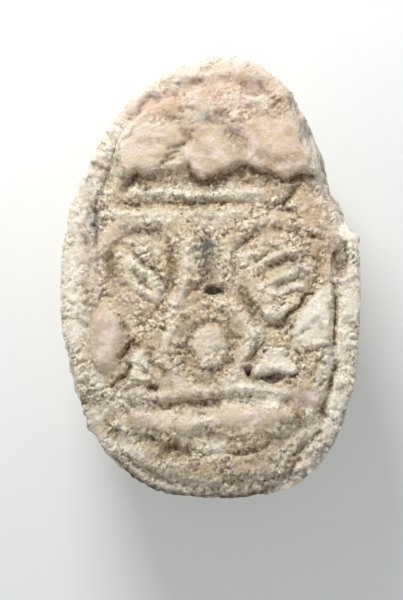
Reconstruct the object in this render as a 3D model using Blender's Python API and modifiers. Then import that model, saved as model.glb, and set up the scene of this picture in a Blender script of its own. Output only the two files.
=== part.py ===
"""Scarab amulet of glazed soapstone, lying on its back with the carved seal face up.

Metres, +Z up, head end towards +Y. The origin lies on the ground below the middle of the oval base.
Low numbers of Z belong to the beetle's back, which is underneath, and the seal face is at HEIGHT.
"""

import math

import bmesh
import bpy
from mathutils import Matrix, Vector, noise

MM = 0.001

# The stone as a whole.
LENGTH = 16.7 * MM
WIDTH = 11.3 * MM
HEIGHT = 7.4 * MM
HEAD_BLUNTNESS = 1.8
TAIL_BLUNTNESS = 2.6
HEAD_LEAN = 0.45 * MM
LEAN_POWER = 4
TAIL_LEAN = 0.42 * MM
TAIL_LEAN_POWER = 2

# The oval base plate, which carries the seal face.
PLATE_THICKNESS = 1.35 * MM
PLATE_UNDERCUT = 0.3 * MM
PLATE_EDGE_ROUND = 0.16 * MM
PLATE_SEGMENTS = 72

# The beetle's underside, a band between the plate and the back where the legs lie.
BELLY_INSET = 0.6 * MM
BELLY_DEPTH = 3.5 * MM
BELLY_SQUARENESS = 3.4

# The back: the wing cases and the collar plate in front of them.
BACK_INSET = 0.25 * MM
BACK_FRONT_END = 5.2 * MM
BACK_DEPTH = 3.9 * MM
BACK_SQUARENESS = 2.25
REST_FLAT_DEPTH = 0.16 * MM

# The head with its digging shield and eyes.
HEAD_WIDTH = 5.6 * MM
HEAD_LENGTH = 6.4 * MM
HEAD_DEPTH = 2.4 * MM
HEAD_FRONT_INSET = 0.3 * MM
HEAD_LEVEL = 4.3 * MM
EYE_RADIUS = 0.55 * MM
SHIELD_NOTCH_RADIUS = 0.2 * MM
SHIELD_NOTCH_PITCH = 0.8 * MM

# Legs, in relief on the band, and the hole for the string.
LEG_RADIUS = 0.56 * MM
LEG_PROUD = 0.05 * MM
LEG_TAPER = 0.5
BORE_RADIUS = 0.8 * MM
BORE_LEVEL = 4.75 * MM

# Lines cut in the back.
BACK_LINE_RADIUS = 0.17 * MM
COLLAR_LINE_Y = 1.5 * MM
COLLAR_LINE_BOW = 0.7 * MM
SHOULDER_MARK_LENGTH = 1.1 * MM

# The seal face: a rim of uneven width, a framing line and the field inside it.
RIM_RIGHT = 0.93 * MM
RIM_LEFT = 1.37 * MM
RIM_HEAD = 1.10 * MM
RIM_TAIL = 0.50 * MM
FIELD_BLUNTNESS = 2.6
FRAME_LINE_RADIUS = 0.2 * MM
FRAME_LINE_START = math.radians(125)
FRAME_LINE_END = math.radians(370)
FINE_LINE_RADIUS = 0.2 * MM
BROAD_LINE_RADIUS = 0.29 * MM
LINE_LIFT = 0.25
LINE_TAPER = 0.45

# Losses and burial crust.
CHIP_SLOPE = math.radians(20)
CHIP_ROUGHNESS = 0.12 * MM
WEAR_SLOPE = math.radians(29)
WEAR_WIDTH = 0.8 * MM
CRUST_HEIGHT = 0.32 * MM
GLAZE_HEIGHT = 0.14 * MM
DEPOSIT_ROOT = 0.35 * MM
DEPOSIT_UNEVENNESS = 0.35

STONE_COLOUR = (0.56, 0.48, 0.36, 1.0)
STONE_ROUGHNESS = 0.85

FIELD_HALF_WIDTH = (WIDTH - RIM_LEFT - RIM_RIGHT) / 2
FIELD_HALF_LENGTH = (LENGTH - RIM_HEAD - RIM_TAIL) / 2
FIELD_MIDDLE = ((RIM_LEFT - RIM_RIGHT) / 2, (RIM_TAIL - RIM_HEAD) / 2)
PLATE_BACK = HEIGHT - PLATE_THICKNESS

# The carved device, in shares of the field's half width and half length.
BARS = (
    ((-0.802, 0.497), (-0.054, 0.507), (0.736, 0.492)),
    ((-0.786, 0.393), (-0.137, 0.398), (0.594, 0.388)),
)
RIGHT_HOOD = (
    (0.179, 0.110), (0.245, 0.205), (0.378, 0.254), (0.569, 0.259), (0.761, 0.239), (0.860, 0.170),
    (0.844, 0.046), (0.761, -0.063), (0.644, -0.142), (0.528, -0.202), (0.428, -0.182),
    (0.320, -0.137), (0.220, -0.068), (0.170, 0.021),
)
LEFT_HOOD = (
    (-0.370, 0.165), (-0.370, 0.006), (-0.445, -0.103), (-0.536, -0.187), (-0.611, -0.211),
    (-0.736, -0.137), (-0.844, -0.028), (-0.885, 0.096), (-0.844, 0.180), (-0.744, 0.229),
    (-0.586, 0.249), (-0.445, 0.224),
)
RIGHT_HATCHES = (
    ((0.237, 0.076), (0.461, 0.155)),
    ((0.395, 0.066), (0.628, 0.125), (0.830, 0.140)),
    ((0.345, -0.038), (0.719, 0.031)),
    ((0.395, -0.112), (0.636, -0.048)),
)
LEFT_HATCHES = (
    ((-0.686, 0.150), (-0.453, 0.026)),
    ((-0.694, 0.041), (-0.503, -0.028)),
)
STEM = ((-0.066, 0.226), (-0.062, 0.010))
DROP_CENTRE = (-0.050, -0.306)
DROP_RADII = (0.192, 0.130)
DROP_SHOULDERS = (
    ((-0.328, -0.090), (-0.411, -0.202), (-0.461, -0.306), (-0.428, -0.424)),
    ((0.353, -0.296), (0.295, -0.365), (0.262, -0.439)),
)
RIGHT_TENT = ((0.495, -0.311), (0.337, -0.449), (0.677, -0.449))
LEFT_TENT = ((-0.628, -0.311), (-0.752, -0.484), (-0.495, -0.489))
SIDE_CUTS = (
    ((-0.661, -0.266), (-0.794, -0.380)),
    ((-0.694, -0.429), (-0.869, -0.509)),
    ((0.661, 0.472), (0.561, 0.418), (0.561, 0.358)),
)
BASKET_LID = (
    (-0.819, -0.613), (-0.511, -0.603), (-0.220, -0.598), (0.046, -0.583), (0.378, -0.563),
    (0.727, -0.578),
)
BASKET_BOWL = (
    (-0.802, -0.662), (-0.586, -0.761), (-0.287, -0.831), (-0.012, -0.850), (0.278, -0.831),
    (0.569, -0.771), (0.761, -0.672),
)
# Pits: place, then half width and half length.
PITS = (
    ((-0.017, -0.033), 0.36 * MM, 0.20 * MM),
    ((-0.536, -0.514), 0.22 * MM, 0.16 * MM),
    ((0.270, -0.429), 0.14 * MM, 0.24 * MM),
    ((0.453, -0.466), 0.52 * MM, 0.16 * MM),
    ((1.018, 0.110), 0.26 * MM, 0.50 * MM),
)
# Outlines of the crust and of the pools of glaze, in shares of the field.
HEAD_CRUST = (
    (-0.827, 0.576), (-0.802, 0.531), (-0.761, 0.512), (-0.677, 0.546), (-0.553, 0.536),
    (-0.445, 0.556), (-0.303, 0.566), (-0.229, 0.556), (-0.195, 0.522), (-0.037, 0.517),
    (0.079, 0.541), (0.195, 0.591), (0.295, 0.576), (0.378, 0.556), (0.486, 0.541),
    (0.569, 0.517), (0.653, 0.536), (0.736, 0.556), (0.827, 0.546), (0.894, 0.591),
    (0.827, 0.715), (0.744, 0.804), (0.644, 0.883), (0.561, 0.952), (0.428, 0.982),
    (0.278, 0.962), (0.129, 1.002), (-0.071, 0.982), (-0.220, 0.952), (-0.403, 0.923),
    (-0.553, 0.893), (-0.653, 0.843), (-0.744, 0.764), (-0.819, 0.695), (-0.852, 0.626),
)
TAIL_CRUST = (
    (-0.802, -0.811), (-0.594, -0.791), (-0.387, -0.831), (-0.154, -0.860), (0.071, -0.850),
    (0.295, -0.841), (0.528, -0.811), (0.694, -0.781), (0.677, -0.860), (0.578, -0.920),
    (0.378, -0.969), (0.162, -0.959), (-0.037, -0.989), (-0.254, -0.969), (-0.470, -0.930),
    (-0.653, -0.880),
)
SIDE_GLAZE = (
    (-1.027, -0.137), (-0.935, -0.093), (-0.827, -0.117), (-0.769, -0.207), (-0.769, -0.316),
    (-0.819, -0.405), (-0.919, -0.444), (-1.010, -0.405), (-1.043, -0.276),
)
BASKET_GLAZE = (
    (-0.096, -0.672), (0.046, -0.628), (0.278, -0.608), (0.528, -0.593), (0.694, -0.613),
    (0.744, -0.672), (0.628, -0.722), (0.378, -0.776), (0.162, -0.771), (-0.021, -0.741),
)
LID_GLAZE = (
    (-0.536, -0.692), (-0.403, -0.652), (-0.237, -0.652), (-0.154, -0.692), (-0.220, -0.741),
    (-0.420, -0.741),
)
# Edges of breaks, in shares of the stone's half width and half length, from head end to tail end.
RIM_BREAK = (
    (0.506, 0.889), (0.533, 0.753), (0.593, 0.701), (0.612, 0.611), (0.646, 0.565), (0.673, 0.521),
    (0.699, 0.431), (0.719, 0.387), (0.738, 0.341), (0.791, 0.297), (0.844, 0.217), (0.936, 0.171),
)
SHOULDER_BREAK = (
    (0.530, 0.856), (0.540, 0.768), (0.625, 0.701), (0.658, 0.655), (0.699, 0.611), (0.731, 0.565),
    (0.765, 0.521), (0.784, 0.477), (0.804, 0.431), (0.837, 0.387), (0.864, 0.341), (0.900, 0.274),
)
LEG_SIDE_BREAK = (
    (-1.023, -0.218), (-0.963, -0.267), (-0.924, -0.331), (-0.917, -0.398), (-0.883, -0.487),
    (-0.871, -0.554), (-0.837, -0.622), (-0.830, -0.700),
)


def clear_scene():
    for obj in list(bpy.data.objects):
        bpy.data.objects.remove(obj)


def new_collection(name):
    collection = bpy.data.collections.new(name)
    bpy.context.scene.collection.children.link(collection)
    return collection


def mesh_object(name, bm, collection):
    bmesh.ops.recalc_face_normals(bm, faces=bm.faces)
    mesh = bpy.data.meshes.new(name)
    bm.to_mesh(mesh)
    bm.free()
    obj = bpy.data.objects.new(name, mesh)
    collection.objects.link(obj)
    return obj


def as_helper(obj):
    obj.hide_render = True
    obj.display_type = "WIRE"
    return obj


def stretch(across, along, squareness):
    """How far a point of the unit circle moves out to lie on the superellipse of that squareness."""
    return (abs(across) ** squareness + abs(along) ** squareness) ** (-1 / squareness)


def plan_point(across, along, half_width, half_length, head_bluntness=HEAD_BLUNTNESS, tail_lean=0.0):
    """A point of the unit disc laid on the egg-shaped plan of the scarab."""
    reach = math.hypot(across, along)
    if reach < 1e-9:
        return 0.0, 0.0
    bluntness = head_bluntness if along > 0 else TAIL_BLUNTNESS
    grow = stretch(across / reach, along / reach, bluntness)
    lean = HEAD_LEAN * max(0.0, along * grow) ** LEAN_POWER
    lean += tail_lean * max(0.0, -along * grow) ** TAIL_LEAN_POWER
    return half_width * grow * across + lean, half_length * grow * along


def belly_centre():
    return Vector((0, 0, PLATE_BACK + 0.2 * PLATE_THICKNESS))


def belly_point(angle, z, proud):
    """A point beside the beetle's underside, standing a little proud of it."""
    down = (belly_centre().z - z) / BELLY_DEPTH
    narrowing = (1 - down**BELLY_SQUARENESS) ** (1 / BELLY_SQUARENESS)
    half_width = (WIDTH / 2 - BELLY_INSET) * narrowing + proud
    half_length = (LENGTH / 2 - BELLY_INSET) * narrowing + proud
    x, y = plan_point(math.cos(angle), math.sin(angle), half_width, half_length)
    return Vector((x, y, z))


def field_point(share, z):
    """A place of the carved device, given in shares of the field."""
    x = FIELD_MIDDLE[0] + share[0] * FIELD_HALF_WIDTH
    return Vector((x, FIELD_MIDDLE[1] + share[1] * FIELD_HALF_LENGTH, z))


def plate(collection):
    """The oval base, a little smaller at its back edge than at the seal face."""
    bm = bmesh.new()
    bmesh.ops.create_cone(
        bm, cap_ends=True, segments=PLATE_SEGMENTS, radius1=1, radius2=1, depth=PLATE_THICKNESS
    )
    for vert in bm.verts:
        inset = PLATE_UNDERCUT if vert.co.z < 0 else 0.0
        half_width, half_length = WIDTH / 2 - inset, LENGTH / 2 - inset
        x, y = plan_point(vert.co.x, vert.co.y, half_width, half_length, tail_lean=TAIL_LEAN)
        vert.co = (x, y, vert.co.z + HEIGHT - PLATE_THICKNESS / 2)
    obj = mesh_object("scarab", bm, collection)
    rounding = obj.modifiers.new("worn edge", "BEVEL")
    rounding.width = PLATE_EDGE_ROUND
    rounding.segments = 2
    rounding.limit_method = "ANGLE"
    return obj


def rounded_form(
    name, centre, half_size, squareness, collection, egg=False, upper=None, segments=48, rings=24
):
    """A sphere grown into a plump form. With egg set it takes the scarab's plan, and upper is the
    height of its upper half where that differs."""
    bm = bmesh.new()
    bmesh.ops.create_uvsphere(bm, u_segments=segments, v_segments=rings, radius=1)
    for vert in bm.verts:
        reach = math.hypot(vert.co.x, vert.co.y)
        grow = stretch(reach, vert.co.z, squareness)
        across, along = vert.co.x * grow, vert.co.y * grow
        if egg:
            x, y = plan_point(across, along, half_size[0], half_size[1])
        else:
            x, y = across * half_size[0], along * half_size[1]
        tall = upper if upper and vert.co.z > 0 else half_size[2]
        vert.co = Vector((x, y, vert.co.z * grow * tall)) + Vector(centre)
    return mesh_object(name, bm, collection)


def back_centre():
    return Vector((0, (BACK_FRONT_END - LENGTH / 2 + BACK_INSET) / 2, BACK_DEPTH - REST_FLAT_DEPTH))


def back_half_size():
    return Vector((WIDTH / 2 - BACK_INSET, (BACK_FRONT_END + LENGTH / 2 - BACK_INSET) / 2, BACK_DEPTH))


def back_surface(x, y):
    """The point of the back's surface below a place in plan."""
    centre, half = back_centre(), back_half_size()
    across, along = (x - centre.x) / half.x, (y - centre.y) / half.y
    reach = min(1.0, math.hypot(across, along))
    deep = (1 - reach**BACK_SQUARENESS) ** (1 / BACK_SQUARENESS)
    return Vector((x, y, max(0.0, centre.z - half.z * deep)))


def cut_flat(obj, level):
    """Cuts everything below the level away and closes the cut, so that the stone lies still."""
    bm = bmesh.new()
    bm.from_mesh(obj.data)
    geometry = bm.verts[:] + bm.edges[:] + bm.faces[:]
    cut = bmesh.ops.bisect_plane(
        bm, geom=geometry, plane_co=(0, 0, level), plane_no=(0, 0, -1), clear_outer=True, dist=1e-7
    )
    bmesh.ops.contextual_create(bm, geom=[e for e in cut["geom_cut"] if isinstance(e, bmesh.types.BMEdge)])
    bmesh.ops.recalc_face_normals(bm, faces=bm.faces)
    bm.to_mesh(obj.data)
    bm.free()


def tube(
    name, points, radius, collection, closed=False, sides_level=1, smooth=True, steps=3, taper=1.0
):
    """A round rod along the points, as a mesh, for a leg in relief or a cutter for a line. Taper
    is the share of the radius that is left at the two ends."""
    curve = bpy.data.curves.new(name, "CURVE")
    curve.dimensions = "3D"
    curve.bevel_depth = radius
    curve.bevel_resolution = sides_level
    curve.use_fill_caps = True
    curve.resolution_u = steps
    if smooth and len(points) > 2:
        spline = curve.splines.new("BEZIER")
        spline.bezier_points.add(len(points) - 1)
        knots = spline.bezier_points
        for knot, point in zip(knots, points):
            knot.co = point
            knot.handle_left_type = knot.handle_right_type = "AUTO"
    else:
        spline = curve.splines.new("POLY")
        spline.points.add(len(points) - 1)
        knots = spline.points
        for knot, point in zip(knots, points):
            knot.co = (*point, 1)
    spline.use_cyclic_u = closed
    if not closed:
        knots[0].radius = knots[-1].radius = taper
    guide = bpy.data.objects.new(name, curve)
    collection.objects.link(guide)
    bpy.context.view_layer.update()
    mesh = bpy.data.meshes.new_from_object(guide.evaluated_get(bpy.context.evaluated_depsgraph_get()))
    bm = bmesh.new()
    bm.from_mesh(mesh)
    bmesh.ops.remove_doubles(bm, verts=bm.verts, dist=1e-7)
    place = guide.matrix_world.copy()
    bpy.data.objects.remove(guide)
    obj = mesh_object(name, bm, collection)
    obj.matrix_world = place
    return obj


def legs(collection):
    """Three legs a side, each a slanting ridge on the band under the back's edge."""
    spans = (
        ("fore_leg", 28, 72, 0.69, 0.90),
        ("middle_leg", 16, -20, 0.68, 0.96),
        ("hind_leg", -6, -68, 0.66, 0.94),
    )
    for name, start, end, low, high in spans:
        for side, label in ((1, "right"), (-1, "left")):
            route = []
            for step in range(6):
                share = step / 5
                turn = math.radians(start + (end - start) * share)
                angle = turn if side > 0 else math.pi - turn
                route.append(belly_point(angle, (low + (high - low) * share) * PLATE_BACK, LEG_PROUD))
            tube(
                f"{label}_{name}", route, LEG_RADIUS, collection, sides_level=2, steps=2,
                taper=LEG_TAPER,
            )


def head(collection):
    """The head in front of the collar, with an eye at each side."""
    centre_y = LENGTH / 2 - HEAD_FRONT_INSET - HEAD_LENGTH / 2
    lean = HEAD_LEAN / 2
    rounded_form(
        "head", (lean, centre_y, HEAD_LEVEL), (HEAD_WIDTH / 2, HEAD_LENGTH / 2, HEAD_DEPTH), 2.5,
        collection, segments=32, rings=16,
    )
    for side in (1, -1):
        place = (lean + side * HEAD_WIDTH * 0.42, centre_y + HEAD_LENGTH * 0.12, HEAD_LEVEL - HEAD_DEPTH * 0.45)
        rounded_form(
            "eye", place, (EYE_RADIUS, EYE_RADIUS * 1.25, EYE_RADIUS), 2, collection, segments=14, rings=8
        )


def back_lines(collection):
    """The lines between wing cases, collar and shoulders, and the notches of the digging shield."""
    half_width = WIDTH / 2
    collar = []
    for step in range(-6, 7):
        share = step / 6
        collar.append(back_surface(share * half_width * 0.93, COLLAR_LINE_Y + COLLAR_LINE_BOW * share**2))
    tube("collar_line", collar, BACK_LINE_RADIUS, collection, steps=2)
    tail = -LENGTH / 2 + BACK_INSET
    suture = [back_surface(0, COLLAR_LINE_Y + (tail - COLLAR_LINE_Y) * step / 10 * 0.985) for step in range(11)]
    tube("wing_line", suture, BACK_LINE_RADIUS, collection, steps=2)
    for side in (1, -1):
        start = back_surface(side * half_width * 0.72, COLLAR_LINE_Y + COLLAR_LINE_BOW * 0.5)
        end = back_surface(side * half_width * 0.62, COLLAR_LINE_Y - SHOULDER_MARK_LENGTH)
        tube("shoulder_mark", [start, end], BACK_LINE_RADIUS, collection)
    front = LENGTH / 2 - HEAD_FRONT_INSET
    for place in (-1, 0, 1):
        x = HEAD_LEAN + place * SHIELD_NOTCH_PITCH
        low = Vector((x, front - 0.2 * MM, HEAD_LEVEL - HEAD_DEPTH))
        high = Vector((x, front + 0.1 * MM, HEAD_LEVEL + 0.6 * MM))
        tube("shield_notch", [low, high], SHIELD_NOTCH_RADIUS, collection)


def bore(collection):
    """The hole for a string, from the head end to the tail end."""
    bm = bmesh.new()
    bmesh.ops.create_cone(
        bm, cap_ends=True, segments=20, radius1=BORE_RADIUS, radius2=BORE_RADIUS, depth=LENGTH * 1.2,
        matrix=Matrix.Translation((0, 0, BORE_LEVEL)) @ Matrix.Rotation(math.radians(90), 4, "X"),
    )
    mesh_object("string_hole", bm, collection)


def face_line(name, shares, radius, collection, **options):
    """Cuts a round-bottomed line in the seal face, running out at its ends. The rod lies a little
    above the face."""
    if len(shares) == 2:
        middle = ((shares[0][0] + shares[1][0]) / 2, (shares[0][1] + shares[1][1]) / 2)
        shares = (shares[0], middle, shares[1])
    route = [field_point(share, HEIGHT + LINE_LIFT * radius) for share in shares]
    return tube(name, route, radius, collection, taper=LINE_TAPER, **options)


def device(collection):
    """The framing line and the carved device: bars, two hatched hoods, a stemmed drop, tents and a basket.
    The framing line runs from the head crust round the tail end to the broken rim."""
    frame = []
    for step in range(31):
        angle = FRAME_LINE_START + (FRAME_LINE_END - FRAME_LINE_START) * step / 30
        x, y = plan_point(
            math.cos(angle), math.sin(angle), FIELD_HALF_WIDTH, FIELD_HALF_LENGTH, FIELD_BLUNTNESS
        )
        frame.append((x / FIELD_HALF_WIDTH, y / FIELD_HALF_LENGTH))
    face_line("frame_line", frame, FRAME_LINE_RADIUS, collection, smooth=False)
    for number, bar in enumerate(BARS):
        face_line(f"bar_line_{number}", bar, FINE_LINE_RADIUS, collection)
    for label, hood in (("right_hood", RIGHT_HOOD), ("left_hood", LEFT_HOOD)):
        face_line(label, hood, FINE_LINE_RADIUS, collection, closed=True, steps=2)
    for number, hatch in enumerate(RIGHT_HATCHES + LEFT_HATCHES + SIDE_CUTS):
        face_line(f"hatch_{number}", hatch, FINE_LINE_RADIUS, collection)
    face_line("stem", STEM, BROAD_LINE_RADIUS, collection, steps=2)
    drop = []
    for step in range(20):
        angle = math.tau * step / 20
        narrowing = 1 - 0.22 * max(0.0, math.sin(angle))
        drop.append((
            DROP_CENTRE[0] + DROP_RADII[0] * narrowing * math.cos(angle),
            DROP_CENTRE[1] + DROP_RADII[1] * math.sin(angle),
        ))
    face_line("drop", drop, FINE_LINE_RADIUS, collection, closed=True, smooth=False)
    for number, shoulder in enumerate(DROP_SHOULDERS):
        face_line(f"drop_shoulder_{number}", shoulder, FINE_LINE_RADIUS, collection, steps=2)
    for label, tent in (("right_tent", RIGHT_TENT), ("left_tent", LEFT_TENT)):
        for number, corner in enumerate(tent):
            face_line(
                f"{label}_{number}", (corner, tent[(number + 1) % len(tent)]), FINE_LINE_RADIUS,
                collection, steps=2,
            )
    face_line("basket_lid", BASKET_LID, BROAD_LINE_RADIUS, collection, steps=2)
    face_line("basket_bowl", BASKET_BOWL, FINE_LINE_RADIUS, collection, steps=2)
    for number, (share, half_width, half_length) in enumerate(PITS):
        place = field_point(share, HEIGHT)
        rounded_form(
            f"pit_{number}", place, (half_width, half_length, 1.6 * BROAD_LINE_RADIUS), 2, collection,
            segments=14, rings=8,
        )


def chip(name, edge, top, bottom, slope, collection):
    """Breaks off what lies outside an edge, between two levels. The ragged break leans outwards
    by the slope as it goes down."""
    bm = bmesh.new()
    levels = 3
    route = [Vector((x * WIDTH / 2, y * LENGTH / 2, 0)) for x, y in edge]
    out = Vector((math.copysign(1, edge[0][0]), 0, 0))
    columns = []
    for number, point in enumerate(route):
        before, after = route[max(0, number - 1)], route[min(len(route) - 1, number + 1)]
        along = (after - before).normalized()
        away = Vector((along.y, -along.x, 0))
        away *= math.copysign(1, away.dot(out))
        column = []
        for level in range(levels + 1):
            z = top + (bottom - top) * level / levels
            rough = noise.noise(point * 900 + Vector((0, 0, level * 1.7))) * CHIP_ROUGHNESS
            slide = (min(HEIGHT, top) - z) * math.tan(slope) + rough
            column.append(bm.verts.new(point + away * slide + Vector((0, 0, z))))
        far = WIDTH / 2
        column += [
            bm.verts.new(point + out * far + Vector((0, 0, bottom))),
            bm.verts.new(point + out * far + Vector((0, 0, top))),
        ]
        columns.append(column)
    for first, second in zip(columns, columns[1:]):
        for i in range(len(first)):
            j = (i + 1) % len(first)
            bm.faces.new((first[i], first[j], second[j], second[i]))
    bm.faces.new(columns[0])
    bm.faces.new(columns[-1])
    bmesh.ops.triangulate(bm, faces=bm.faces)
    mesh_object(name, bm, collection)


def breaks(collection):
    """The lost stretch of rim, the rubbed shoulder under it, and the worn rim over the hind legs."""
    above = HEIGHT + 3 * CRUST_HEIGHT
    step = PLATE_BACK - 0.015 * PLATE_THICKNESS
    chip("rim_break", RIM_BREAK, above, step, CHIP_SLOPE, collection)
    chip("leg_side_break", LEG_SIDE_BREAK, above, step, CHIP_SLOPE / 2, collection)
    shoulder_top = PLATE_BACK + 0.1 * PLATE_THICKNESS
    chip("shoulder_break", SHOULDER_BREAK, shoulder_top, 0.4 * PLATE_BACK, 0.0, collection)


def head_end_wear(collection):
    """The rim at the head end is rubbed down to a slope."""
    size = WIDTH
    bm = bmesh.new()
    bmesh.ops.create_cube(bm, size=size)
    hinge = Vector((0, LENGTH / 2 - WEAR_WIDTH, HEIGHT))
    turn = Matrix.Rotation(-WEAR_SLOPE, 4, "X")
    lift = Matrix.Translation((0, size / 2, size / 2))
    bmesh.ops.transform(bm, matrix=Matrix.Translation(hinge) @ turn @ lift, verts=bm.verts)
    mesh_object("head_end_wear", bm, collection)


def spine_place(outline, share):
    """The nearest place to a point on the line that runs along the middle of an outline."""
    low = [min(point[axis] for point in outline) for axis in (0, 1)]
    high = [max(point[axis] for point in outline) for axis in (0, 1)]
    half = [(high[axis] - low[axis]) / 2 for axis in (0, 1)]
    place = []
    for axis in (0, 1):
        middle = (high[axis] + low[axis]) / 2
        reach = max(0.0, half[axis] - half[1 - axis])
        place.append(max(middle - reach, min(middle + reach, share[axis])))
    return Vector(place)


def mound(name, outline, high, collection):
    """A low uneven lump with a traced outline, rooted in the stone below it."""
    bm = bmesh.new()
    foot = -0.2 * DEPOSIT_ROOT
    profile = ((0.97, -DEPOSIT_ROOT), (1.0, foot), (0.94, 0.6 * high), (0.8, 0.95 * high), (0.45, high))
    rings = []
    for scale, rise in profile:
        ring = []
        for share in outline:
            place = field_point(spine_place(outline, share).lerp(Vector(share), scale), HEIGHT + rise)
            if rise > 0:
                place.z += noise.noise(place * 700) * DEPOSIT_UNEVENNESS * high
            ring.append(bm.verts.new(place))
        rings.append(ring)
    for lower, upper in zip(rings, rings[1:]):
        for i in range(len(lower)):
            j = (i + 1) % len(lower)
            bm.faces.new((lower[i], lower[j], upper[j], upper[i]))
    bm.faces.new(rings[0])
    bm.faces.new(rings[-1])
    bmesh.ops.triangulate(bm, faces=bm.faces)
    mesh_object(name, bm, collection)


def crust(collection):
    """Burial crust at the head and tail ends, and pools of old glaze, standing on the seal face."""
    mound("head_crust", HEAD_CRUST, CRUST_HEIGHT, collection)
    mound("tail_crust", TAIL_CRUST, GLAZE_HEIGHT, collection)
    mound("side_glaze", SIDE_GLAZE, GLAZE_HEIGHT, collection)
    mound("basket_glaze", BASKET_GLAZE, GLAZE_HEIGHT, collection)
    mound("lid_glaze", LID_GLAZE, GLAZE_HEIGHT, collection)


def boolean(obj, operation, collection):
    modifier = obj.modifiers.new(f"{operation.lower()} {collection.name}", "BOOLEAN")
    modifier.operation = operation
    modifier.operand_type = "COLLECTION"
    modifier.collection = collection
    modifier.solver = "EXACT"


def stone_material():
    material = bpy.data.materials.new("glazed soapstone")
    material.use_nodes = True
    shader = material.node_tree.nodes["Principled BSDF"]
    shader.inputs["Base Color"].default_value = STONE_COLOUR
    shader.inputs["Roughness"].default_value = STONE_ROUGHNESS
    shader.inputs["Metallic"].default_value = 0.0
    return material


def build():
    clear_scene()
    part = new_collection("scarab amulet")
    scarab = plate(part)
    forms = new_collection("forms")
    lines = new_collection("lines")
    losses = new_collection("losses")
    wear = new_collection("wear")
    deposits = new_collection("deposits")
    belly_size = (WIDTH / 2 - BELLY_INSET, LENGTH / 2 - BELLY_INSET, BELLY_DEPTH)
    rounded_form(
        "belly", belly_centre(), belly_size, BELLY_SQUARENESS, forms, egg=True,
        upper=PLATE_THICKNESS * 0.4, segments=56,
    )
    back = rounded_form(
        "back", back_centre(), back_half_size(), BACK_SQUARENESS, forms,
        upper=BACK_DEPTH * 0.6, segments=48, rings=24,
    )
    cut_flat(back, 0.0)
    head(forms)
    legs(forms)
    back_lines(lines)
    bore(lines)
    device(lines)
    breaks(losses)
    head_end_wear(wear)
    crust(deposits)
    for collection in (forms, lines, wear, deposits, losses):
        for obj in collection.objects:
            as_helper(obj)
    boolean(scarab, "UNION", forms)
    boolean(scarab, "DIFFERENCE", wear)
    boolean(scarab, "DIFFERENCE", lines)
    boolean(scarab, "UNION", deposits)
    boolean(scarab, "DIFFERENCE", losses)
    scarab.data.materials.append(stone_material())


build()
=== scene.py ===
"""Dresses the scarab amulet: the worn, crusted stone with its carved seal face, and the stage.

The tables are drawn on the seal face, with the head end at the top, from the middle of the oval.
Courses and outlines are x, y, x, y and so on in hundredths of a millimetre, and widths, depths and
heights are in thousandths. Other lengths are millimetres where they aren't multiplied by MM.
"""

import math

import bpy
import numpy as np
from bpy.props import FloatProperty, FloatVectorProperty, IntProperty, PointerProperty
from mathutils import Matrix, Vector


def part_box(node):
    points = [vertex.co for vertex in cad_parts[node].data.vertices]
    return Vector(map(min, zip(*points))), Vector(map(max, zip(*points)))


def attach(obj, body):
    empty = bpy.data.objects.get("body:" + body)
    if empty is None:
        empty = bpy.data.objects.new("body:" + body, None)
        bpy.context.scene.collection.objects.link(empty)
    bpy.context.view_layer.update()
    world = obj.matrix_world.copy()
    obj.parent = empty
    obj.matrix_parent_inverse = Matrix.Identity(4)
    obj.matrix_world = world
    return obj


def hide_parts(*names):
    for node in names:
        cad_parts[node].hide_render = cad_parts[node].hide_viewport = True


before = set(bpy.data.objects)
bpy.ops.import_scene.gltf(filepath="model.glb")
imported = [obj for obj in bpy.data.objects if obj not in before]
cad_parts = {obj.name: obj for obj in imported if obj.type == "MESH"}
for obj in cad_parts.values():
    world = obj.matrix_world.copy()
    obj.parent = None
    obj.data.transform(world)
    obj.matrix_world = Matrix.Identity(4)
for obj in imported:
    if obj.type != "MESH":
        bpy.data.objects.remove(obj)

bl_info = {
    "name": "Scarab Amulet Finish",
    "version": (1, 0, 0),
    "blender": (4, 5, 0),
    "location": "3D View > Sidebar > Scarab",
    "description": "Turns the plain solid of a scarab amulet into worn, crusted and glazed stone",
    "category": "Object",
}

MM = 0.001
# Steps of a millimetre in which the tables give courses, and widths, depths and heights.
COURSE_UNIT = 100
SIZE_UNIT = 1000
# Stands in for a length of nothing, so that nothing is divided by zero.
TINY = 1e-9
# Cells on each side of a table of dice throws, after which uneven values repeat.
GRID = 256

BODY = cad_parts["scarab"]
LOW, HIGH = (Vector(corner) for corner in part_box("scarab"))
STONE = "scarab_stone"

# Where things lie, as the two ends of a smooth change from no to yes.
FACE_LEVEL = (6.75, 6.95)
FACE_UPWARD = (0.05, 0.45)
BEYOND_LEVEL = (6.5, 6.8)
BEYOND_UPWARD = (-0.3, 0.1)
EDGE_LEVEL = (5.6, 6.4)
EDGE_UPWARD = (0.75, 0.98)
STAINED_LEVEL = (5.4, 5.7)
HEAD_CRUST_FROM = (3.1, 3.5)
HEAD_CRUST_LEVEL = (7.36, 7.46)
HOLE_SIDES = (0.85, 0.95)
HOLE_BOTTOM = (2.9, 3.0)
HOLE_TOP = (5.1, 5.2)
HOLE_END_ON = (0.3, 0.6)
HOLE_HALF_LENGTH = 8.0

# The sunk field: middle, half width and half length, and how soft its edge is.
FIELD_MIDDLE_Y = -0.3
FIELD_HALF_WIDTH = 4.6
FIELD_HALF_LENGTH = 7.6
FIELD_EDGE = (-0.05, 0.12)

# The skin: how points are joined and thinned.
MERGE_DISTANCE = 0.0005
SOFTENING_ROUNDS = 6
BACK_THINNING = 60.0
GROUP_STEPS = 10

# A drawn line is left out beyond this many of its widths, where it has faded to nothing.
FADE_REACH = 2.6
# The share of the way to its neighbours' middle that a worn point goes in each round.
WEAR_PER_ROUND = 0.6
# A cut this deep is full of soil, and a ridge this high is pale all over, partly bleached and partly a
# painted highlight.
SOILED_DEPTH = 0.12
BLEACH_AND_HIGHLIGHT_HEIGHT = 0.1
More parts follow.
